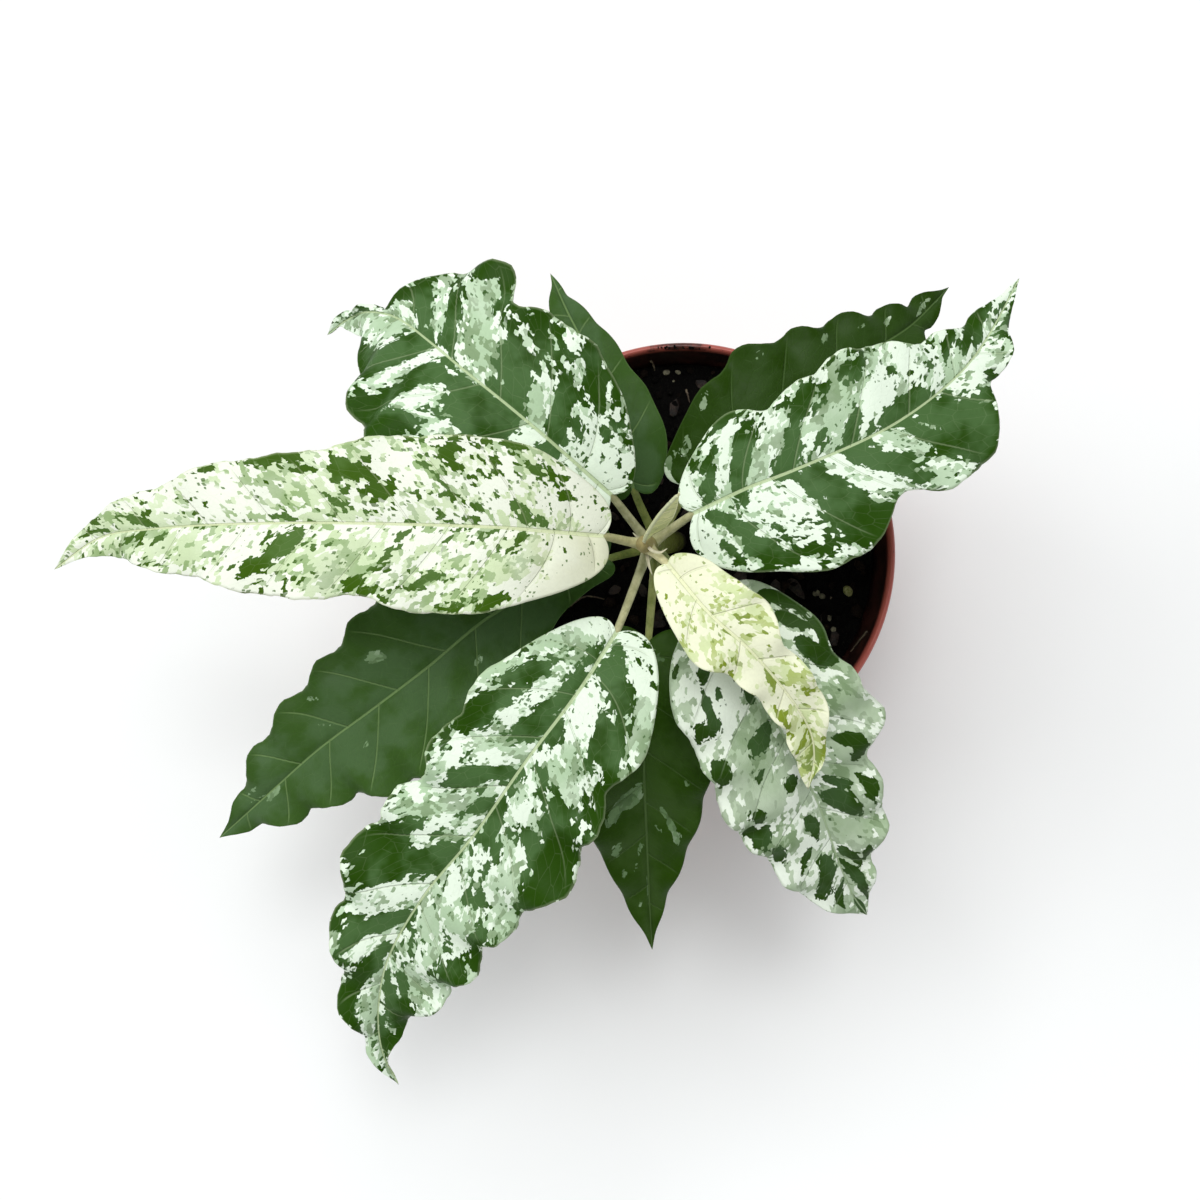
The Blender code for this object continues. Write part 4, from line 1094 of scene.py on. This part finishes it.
def spun(profile, steps):
    """A profile of (radius, height) in millimetres turned round Z into a closed mesh in bmesh."""
    work = bmesh.new()
    points = [work.verts.new((r * MM, 0, z * MM)) for r, z in profile]
    edges = [work.edges.new(pair) for pair in zip(points, points[1:])]
    bmesh.ops.spin(work, geom=points + edges, cent=(0, 0, 0), axis=(0, 0, 1), angle=2 * math.pi,
                   steps=steps, use_merge=True)
    bmesh.ops.remove_doubles(work, verts=work.verts, dist=1e-6)
    bmesh.ops.recalc_face_normals(work, faces=work.faces)
    return work


def wall_radius(z):
    """The pot's inner radius at a height, below the collar's step."""
    return BASE_R - WALL + (RIM_R - TAPER_INSET - BASE_R) * z / POT_H


def pot_profile():
    """Inside floor, inner wall, lip, collar with two fine beads, step, outer wall and underside."""
    step_z = POT_H - LIP_H - COLLAR_H
    collar_r = wall_radius(step_z) + WALL + COLLAR_STEP
    lip_in = RIM_R - LIP_INSET
    lip_out = RIM_R - LIP_STEP

    def collar(z):
        """The collar's outer radius at a height."""
        return collar_r + (lip_out - collar_r) * (z - step_z) / (COLLAR_H - 0.4)

    beads = []
    for z in (step_z + rise for rise in BEADS):
        beads += [(collar(z + BEAD_HALF), z + BEAD_HALF), (collar(z) + BEAD_OUT, z),
                  (collar(z - BEAD_HALF), z - BEAD_HALF)]
    return ((0, FLOOR), (wall_radius(FLOOR) - 1.5, FLOOR), (wall_radius(FLOOR), FLOOR + 1.5),
            (wall_radius(step_z - 1), step_z - 1), (collar_r - WALL, step_z + 1),
            (lip_in - 0.4, POT_H - LIP_H), (lip_in, POT_H - 0.9), (lip_in + 0.5, POT_H - 0.1),
            (RIM_R - 0.9, POT_H), (RIM_R - 0.3, POT_H - 0.5), (RIM_R, POT_H - 1.5),
            (RIM_R - 0.5, POT_H - LIP_H), (lip_out, POT_H - LIP_H - 0.4), *beads,
            (collar_r, step_z), (wall_radius(step_z) + WALL, step_z - 1.2),
            (BASE_R + 0.4, 2.2), (BASE_R - 0.4, 0.7), (BASE_R - 1.5, 0), (0, 0))


def drain_cutters():
    """One mesh of upright round cutters on the drainage ring."""
    work = bmesh.new()
    for i in range(DRAIN_HOLES):
        turn = 2 * math.pi * (i + 0.5) / DRAIN_HOLES
        made = bmesh.ops.create_cone(work, cap_ends=True, segments=DRAIN_SEGMENTS, radius1=DRAIN_R * MM,
                                     radius2=DRAIN_R * MM, depth=4 * FLOOR * MM)
        centre = Vector((math.cos(turn), math.sin(turn), 0)) * DRAIN_RING_R * MM
        bmesh.ops.translate(work, verts=made["verts"], vec=centre)
    return to_mesh("drain_cutters", work)


class FICUS_OT_pot(bpy.types.Operator):
    """Turn the nursery pot with its beaded collar and drainage holes"""
    bl_idname = "ficus.pot"
    bl_label = "Pot"

    def execute(self, context):
        settings = context.scene.ficus_pot
        work = spun(pot_profile(), settings.steps)
        sharp = [edge for edge in work.edges
                 if len(edge.link_faces) == 2 and edge.calc_face_angle(0) > SHARP_ANGLE]
        bmesh.ops.bevel(work, geom=sharp, offset=settings.ease, offset_type="OFFSET", affect="EDGES",
                        segments=2, profile=0.5, material=-1, clamp_overlap=True)
        mesh = to_mesh("pot_wall", work)
        cutter = bpy.data.objects.new("drain_cutters", drain_cutters())
        context.scene.collection.objects.link(cutter)
        mesh = baked(mesh, ("BOOLEAN", {"operation": "DIFFERENCE", "solver": "EXACT", "object": cutter}))
        bpy.data.objects.remove(cutter)
        # Marks the inner wall for the painted shade and soil smear of the plastic
        soiled = mesh.attributes.new("soiled", "FLOAT", "POINT")
        for vertex, value in zip(mesh.vertices, soiled.data):
            inward = vertex.normal.xy.dot(vertex.co.xy) < 0 and vertex.co.z < (POT_H - 2) * MM
            value.value = 1.0 if inward else 0.0
        add_piece("pot_wall", shade(mesh, SMOOTH_ANGLE), [plastic_look(settings)], ("pot",))
        return {"FINISHED"}


def soil_height(x, y):
    """Bumps of the soil's surface, in millimetres above its mean level."""
    coarse = math.sin(0.21 * x + 1.3) * math.cos(0.17 * y - 0.4)
    fine = math.sin(0.47 * x - 0.29 * y) * math.cos(0.39 * y + 0.23 * x)
    crumb = noise.fractal(Vector((x, y, 3.1)) * 0.45, 0.9, 2.1, 5)
    return SOIL_BUMP * (coarse + 0.6 * fine) + 0.9 * crumb


def lump(work, lot_layer, place, size, turn, lot, subdivisions=1, jitter=0.0, draw=None):
    """One small lump: a squashed sphere of few faces, turned, roughened and laid in place."""
    made = bmesh.ops.create_icosphere(work, subdivisions=subdivisions, radius=MM)["verts"]
    if draw:
        for vertex in made:
            vertex.co *= 1 + draw.uniform(-jitter, jitter)
    bmesh.ops.scale(work, verts=made, vec=size)
    bmesh.ops.rotate(work, verts=made, cent=(0, 0, 0), matrix=turn)
    bmesh.ops.translate(work, verts=made, vec=Vector(place) * MM)
    for vertex in made:
        vertex[lot_layer] = lot


def lots():
    """An empty bmesh, and the layer in which each lump has a tone of its own."""
    work = bmesh.new()
    return work, work.verts.layers.float.new("lot")


def drawn_shape(draw, size, spans):
    """Half sizes of a lump: its size times a random draw from each span."""
    return tuple(size * draw.uniform(*span) for span in spans)


def any_turn(draw, tilt=0.5):
    """A random turn about Z after a small random tilt."""
    across, forth = (Matrix.Rotation(draw.uniform(-tilt, tilt), 3, axis) for axis in "XY")
    return Matrix.Rotation(draw.uniform(0, 2 * math.pi), 3, "Z") @ (across @ forth)


def soil_spot(draw, reach):
    """A random place on the soil, clear of the stem."""
    while True:
        r, turn = reach * math.sqrt(draw.random()), draw.uniform(0, 2 * math.pi)
        x, y = r * math.cos(turn), r * math.sin(turn)
        if math.hypot(x + 1.5, y - 4) > STEM_CLEAR:
            return x, y


class FICUS_OT_soil(bpy.types.Operator):
    """Fill the pot with potting mix, crumbs, bark chips, prills and twigs"""
    bl_idname = "ficus.soil"
    bl_label = "Soil"

    def execute(self, context):
        settings = context.scene.ficus_soil
        draw = random.Random(settings.seed)
        low = FLOOR + GAP
        profile = [(SOIL_REACH * i / SOIL_RINGS, SOIL_TOP) for i in range(SOIL_RINGS + 1)]
        profile += [(wall_radius(SOIL_SHOULDER) - GAP, SOIL_SHOULDER),
                    (wall_radius(low + 1.6) - GAP, low + 1.6), (wall_radius(low) - 1.8, low), (0, low)]
        work = spun(profile, SOIL_STEPS)
        for vertex in work.verts:
            x, y, z = vertex.co / MM
            if z > SOIL_TOP - 1:
                vertex.co.z += soil_height(x, y) * MM
        # The mix's colour carries painted shade under the leaves
        earth_and_shade = tuple(settings.earth_and_shade)
        add_piece("soil_bed", shade(to_mesh("soil_bed", work)),
                  [soil_look("soil_bed", earth_and_shade, (0.010, 0.006, 0.004), 0.0)], ("soil",))

        work, lot_layer = lots()
        for _ in range(settings.crumbs):
            x, y = soil_spot(draw, SOIL_REACH - 1.2)
            size = draw.uniform(0.5, 1.7) * draw.uniform(0.6, 1.2)
            shape = drawn_shape(draw, size, CRUMB_SHAPE)
            place = (x, y, SOIL_TOP + soil_height(x, y) + 0.25 * size)
            lump(work, lot_layer, place, shape, any_turn(draw), draw.random() ** 2.5, jitter=0.22,
                 draw=draw)
        for _ in range(LIP_DIRT):
            turn = math.radians(draw.gauss(91, 4))
            reach = RIM_R - draw.uniform(0.8, LIP_INSET)
            size = draw.uniform(0.2, 0.5)
            place = (reach * math.cos(turn), reach * math.sin(turn), POT_H + 0.1 * size)
            lump(work, lot_layer, place, (size * 1.2, size, 0.6 * size), any_turn(draw), draw.random(),
                 jitter=0.2, draw=draw)
        add_piece("soil_crumbs", to_mesh("soil_crumbs", work),
                  [soil_look("soil_crumbs", tuple(1.2 * c for c in earth_and_shade), (0.014, 0.008, 0.005), 1.0)])

        work, lot_layer = lots()
        for _ in range(settings.chips):
            x, y = soil_spot(draw, SOIL_REACH - 3)
            size = draw.uniform(1.2, 3.0)
            shape = drawn_shape(draw, size, CHIP_SHAPE)
            place = (x, y, SOIL_TOP + soil_height(x, y) + 0.5)
            lump(work, lot_layer, place, shape, any_turn(draw, 0.4), draw.random(), jitter=0.2, draw=draw)
        add_piece("soil_bark_chips", to_mesh("soil_bark_chips", work),
                  [bit_look("bark_chips", (0.006, 0.0035, 0.0025), (0.022, 0.012, 0.008), 0.002, 0.0004)])

        for name, table, look in (
                ("soil_prills", PRILLS,
                 bit_look("prill_skin", (0.14, 0.15, 0.03), (0.30, 0.29, 0.14), 0.0012)),
                ("soil_pale_chips", PALE_CHIPS,
                 bit_look("pale_chips", (0.08, 0.073, 0.045), (0.18, 0.165, 0.11), 0.001))):
            work, lot_layer = lots()
            for x, y, size, degrees in table:
                place = (x, y, SOIL_TOP + soil_height(x, y) + 0.6 * size[2])
                turn = Matrix.Rotation(math.radians(degrees), 3, "Z")
                lump(work, lot_layer, place, size, turn, 1.0, 3, 0.05, draw)
            add_piece(name, shade(to_mesh(name, work)), [look])

        twigs = []
        for ends in TWIGS:
            path = [point + np.array((draw.uniform(-0.1, 0.1), draw.uniform(-0.1, 0.1), 0))
                    for point in catmull(ends, np.linspace(0, 2, TWIG_STEPS))]
            twigs.append((tube(path, np.linspace(*TWIG_RADII, TWIG_STEPS), 2), 0))
        add_piece("soil_twigs", joined("soil_twigs", *twigs),
                  [bit_look("twig_skin", (0.060, 0.042, 0.028), (0.13, 0.10, 0.065), 0.002)])
        return {"FINISHED"}


# Plant


def joint_bulge(z, nodes, bulge):
    """What the joints add to the stem's radius. A bulge is (height, shift, half length, most)."""
    high, shift, half, most = bulge
    return min(sum(high * math.exp(-((z - node + shift) / half) ** 2) for node in nodes), most)


def skin_pair(name, palette, settings, seed):
    """Materials of a blade's upper and under side."""
    return [leaf_look(name + "_skin", palette, settings, seed),
            leaf_look(name + "_under", palette, settings, seed, under=True)]


class FICUS_OT_stem(bpy.types.Operator):
    """Grow the stem with its joints, leaf scars and dry stipules"""
    bl_idname = "ficus.stem"
    bl_label = "Stem"

    def execute(self, context):
        nodes = [*OLD_NODES, *(leaf.node_z for leaf in LEAVES)]
        points, radii = [], []
        for z in np.linspace(*STEM_SPAN, STEM_ROWS):
            centre, radius = stem_at(z)
            ease = 1 if z < TIP_START else math.sqrt(max(TIP_LEAST, 1 - ((z - TIP_START) / TIP_SPAN) ** 2))
            points.append(centre)
            radii.append((radius + joint_bulge(z, nodes, SWELL) + joint_bulge(z, nodes, SCAR)) * ease)
        mesh = tube(points, radii, 10)
        for vertex in mesh.vertices:
            spot = Vector([part * pace for part, pace in zip(vertex.co / MM, BARK_PACE)])
            vertex.co += vertex.normal * MM * BARK_RELIEF * noise.noise(spot)
        settings = context.scene.ficus_leaf
        palette = palettes(settings)["sheath"]
        skins = [bark_look(), *skin_pair("stipule", palette, settings, 3.0)]
        sheaths = [(blade_mesh(s, 0.0003, 6, 0.2), 1) for s in STIPULES]
        add_piece("stem_stalk", joined("stem_stalk", (mesh, 0), *sheaths), skins, ("stem",))
        return {"FINISHED"}


class FICUS_OT_leaves(bpy.types.Operator):
    """Grow the ten open leaves with their petioles"""
    bl_idname = "ficus.leaves"
    bl_label = "Leaves"

    def execute(self, context):
        settings = context.scene.ficus_leaf
        kinds = palettes(settings)
        for number, leaf in enumerate(LEAVES):
            blade = blade_mesh(leaf, settings.rows, settings.columns)
            mesh = joined(leaf.name, (blade, 0), (petiole_mesh(leaf), 2))
            skins = [*skin_pair(leaf.name, kinds[leaf.look], settings, number * 17.3),
                     stalk_look(leaf.name + "_stalk", *STALKS[leaf.look])]
            add_piece("grown_" + leaf.name, mesh, skins, (leaf.name,))
        return {"FINISHED"}


class FICUS_OT_spear(bpy.types.Operator):
    """Grow the youngest leaf, still folded round its midrib"""
    bl_idname = "ficus.spear"
    bl_label = "Folded leaf"

    def execute(self, context):
        settings = context.scene.ficus_leaf
        skins = skin_pair("spear", palettes(settings)["bud"], settings, 8.0)
        mesh = shade(blade_mesh(SPEAR, 0.0004, 12, 0.45))
        add_piece("grown_spear", mesh, skins, (SPEAR.name,))
        return {"FINISHED"}


class FICUS_OT_stage(bpy.types.Operator):
    """Lay the pale floor and set the soft light and the camera"""
    bl_idname = "ficus.stage"
    bl_label = "Stage"

    def execute(self, context):
        settings = context.scene.ficus_stage
        work = bmesh.new()
        bmesh.ops.create_grid(work, x_segments=FLOOR_CELLS, y_segments=FLOOR_CELLS, size=FLOOR_HALF)
        floor = bpy.data.objects.new("floor", to_mesh("floor", work))
        context.scene.collection.objects.link(floor)
        look = Look("floor_paint", Roughness=0.9, Specular_IOR_Level=0.0)
        cloud = look.noise(look.place(), 0.3)
        floor.data.materials.append(look.finish(look.tone(tuple(settings.floor), cloud * 0.01 + 0.995)))

        world = bpy.data.worlds.new("even_light")
        world.use_nodes = True
        background = world.node_tree.nodes["Background"]
        background.inputs["Color"].default_value = (1, 1, 1, 1)
        background.inputs["Strength"].default_value = settings.sky
        context.scene.world = world

        for name in ("key", "side", "top"):
            turn, rise, spread = (getattr(settings, name + part) for part in ("_turn", "_rise", "_spread"))
            self.add_sun(context, name, getattr(settings, name), turn, rise, spread)

        lens = bpy.data.cameras.new("camera")
        lens.sensor_width = SENSOR
        lens.lens = FOCAL_SHARE * SENSOR
        lens.clip_start = CLIP_START
        camera = bpy.data.objects.new("camera", lens)
        camera.location = CAMERA_SPOT
        context.scene.collection.objects.link(camera)
        context.scene.camera = camera
        context.scene.view_settings.view_transform = "Standard"
        return {"FINISHED"}

    def add_sun(self, context, name, energy, turn, rise, spread):
        """Hangs up one sun that shines at the origin."""
        sun = bpy.data.lights.new(name, "SUN")
        sun.energy = energy
        sun.angle = spread
        lamp = bpy.data.objects.new(name, sun)
        context.scene.collection.objects.link(lamp)
        across = math.cos(rise)
        spot = Vector((math.cos(turn) * across, math.sin(turn) * across, math.sin(rise)))
        lamp.location = spot * LAMP_DISTANCE
        lamp.rotation_euler = spot.to_track_quat("Z", "Y").to_euler()


OPERATORS = (FICUS_OT_pot, FICUS_OT_soil, FICUS_OT_stem, FICUS_OT_leaves, FICUS_OT_spear, FICUS_OT_stage)
SETTINGS = {"ficus_leaf": FicusLeafSettings, "ficus_pot": FicusPotSettings, "ficus_soil": FicusSoilSettings,
            "ficus_stage": FicusStageSettings}


class FICUS_PT_panel(bpy.types.Panel):
    """The builder's steps and their settings"""
    bl_idname = "FICUS_PT_panel"
    bl_label = "Potted ficus"
    bl_space_type = "VIEW_3D"
    bl_region_type = "UI"
    bl_category = "Ficus"

    def draw(self, context):
        for operator in OPERATORS:
            self.layout.operator(operator.bl_idname)
        for key, group in SETTINGS.items():
            box = self.layout.box()
            for field in group.__annotations__:
                box.prop(getattr(context.scene, key), field)


CLASSES = (*SETTINGS.values(), *OPERATORS, FICUS_PT_panel)


def register():
    """Registers the settings, the steps and the panel."""
    for group in CLASSES:
        bpy.utils.register_class(group)
    for key, group in SETTINGS.items():
        setattr(bpy.types.Scene, key, PointerProperty(type=group))


def unregister():
    """Takes them out again."""
    for key in SETTINGS:
        delattr(bpy.types.Scene, key)
    for group in reversed(CLASSES):
        bpy.utils.unregister_class(group)


def main():
    """Runs every step."""
    register()
    for operator in OPERATORS:
        family, name = operator.bl_idname.split(".")
        getattr(getattr(bpy.ops, family), name)()


if __name__ == "__main__":
    main()
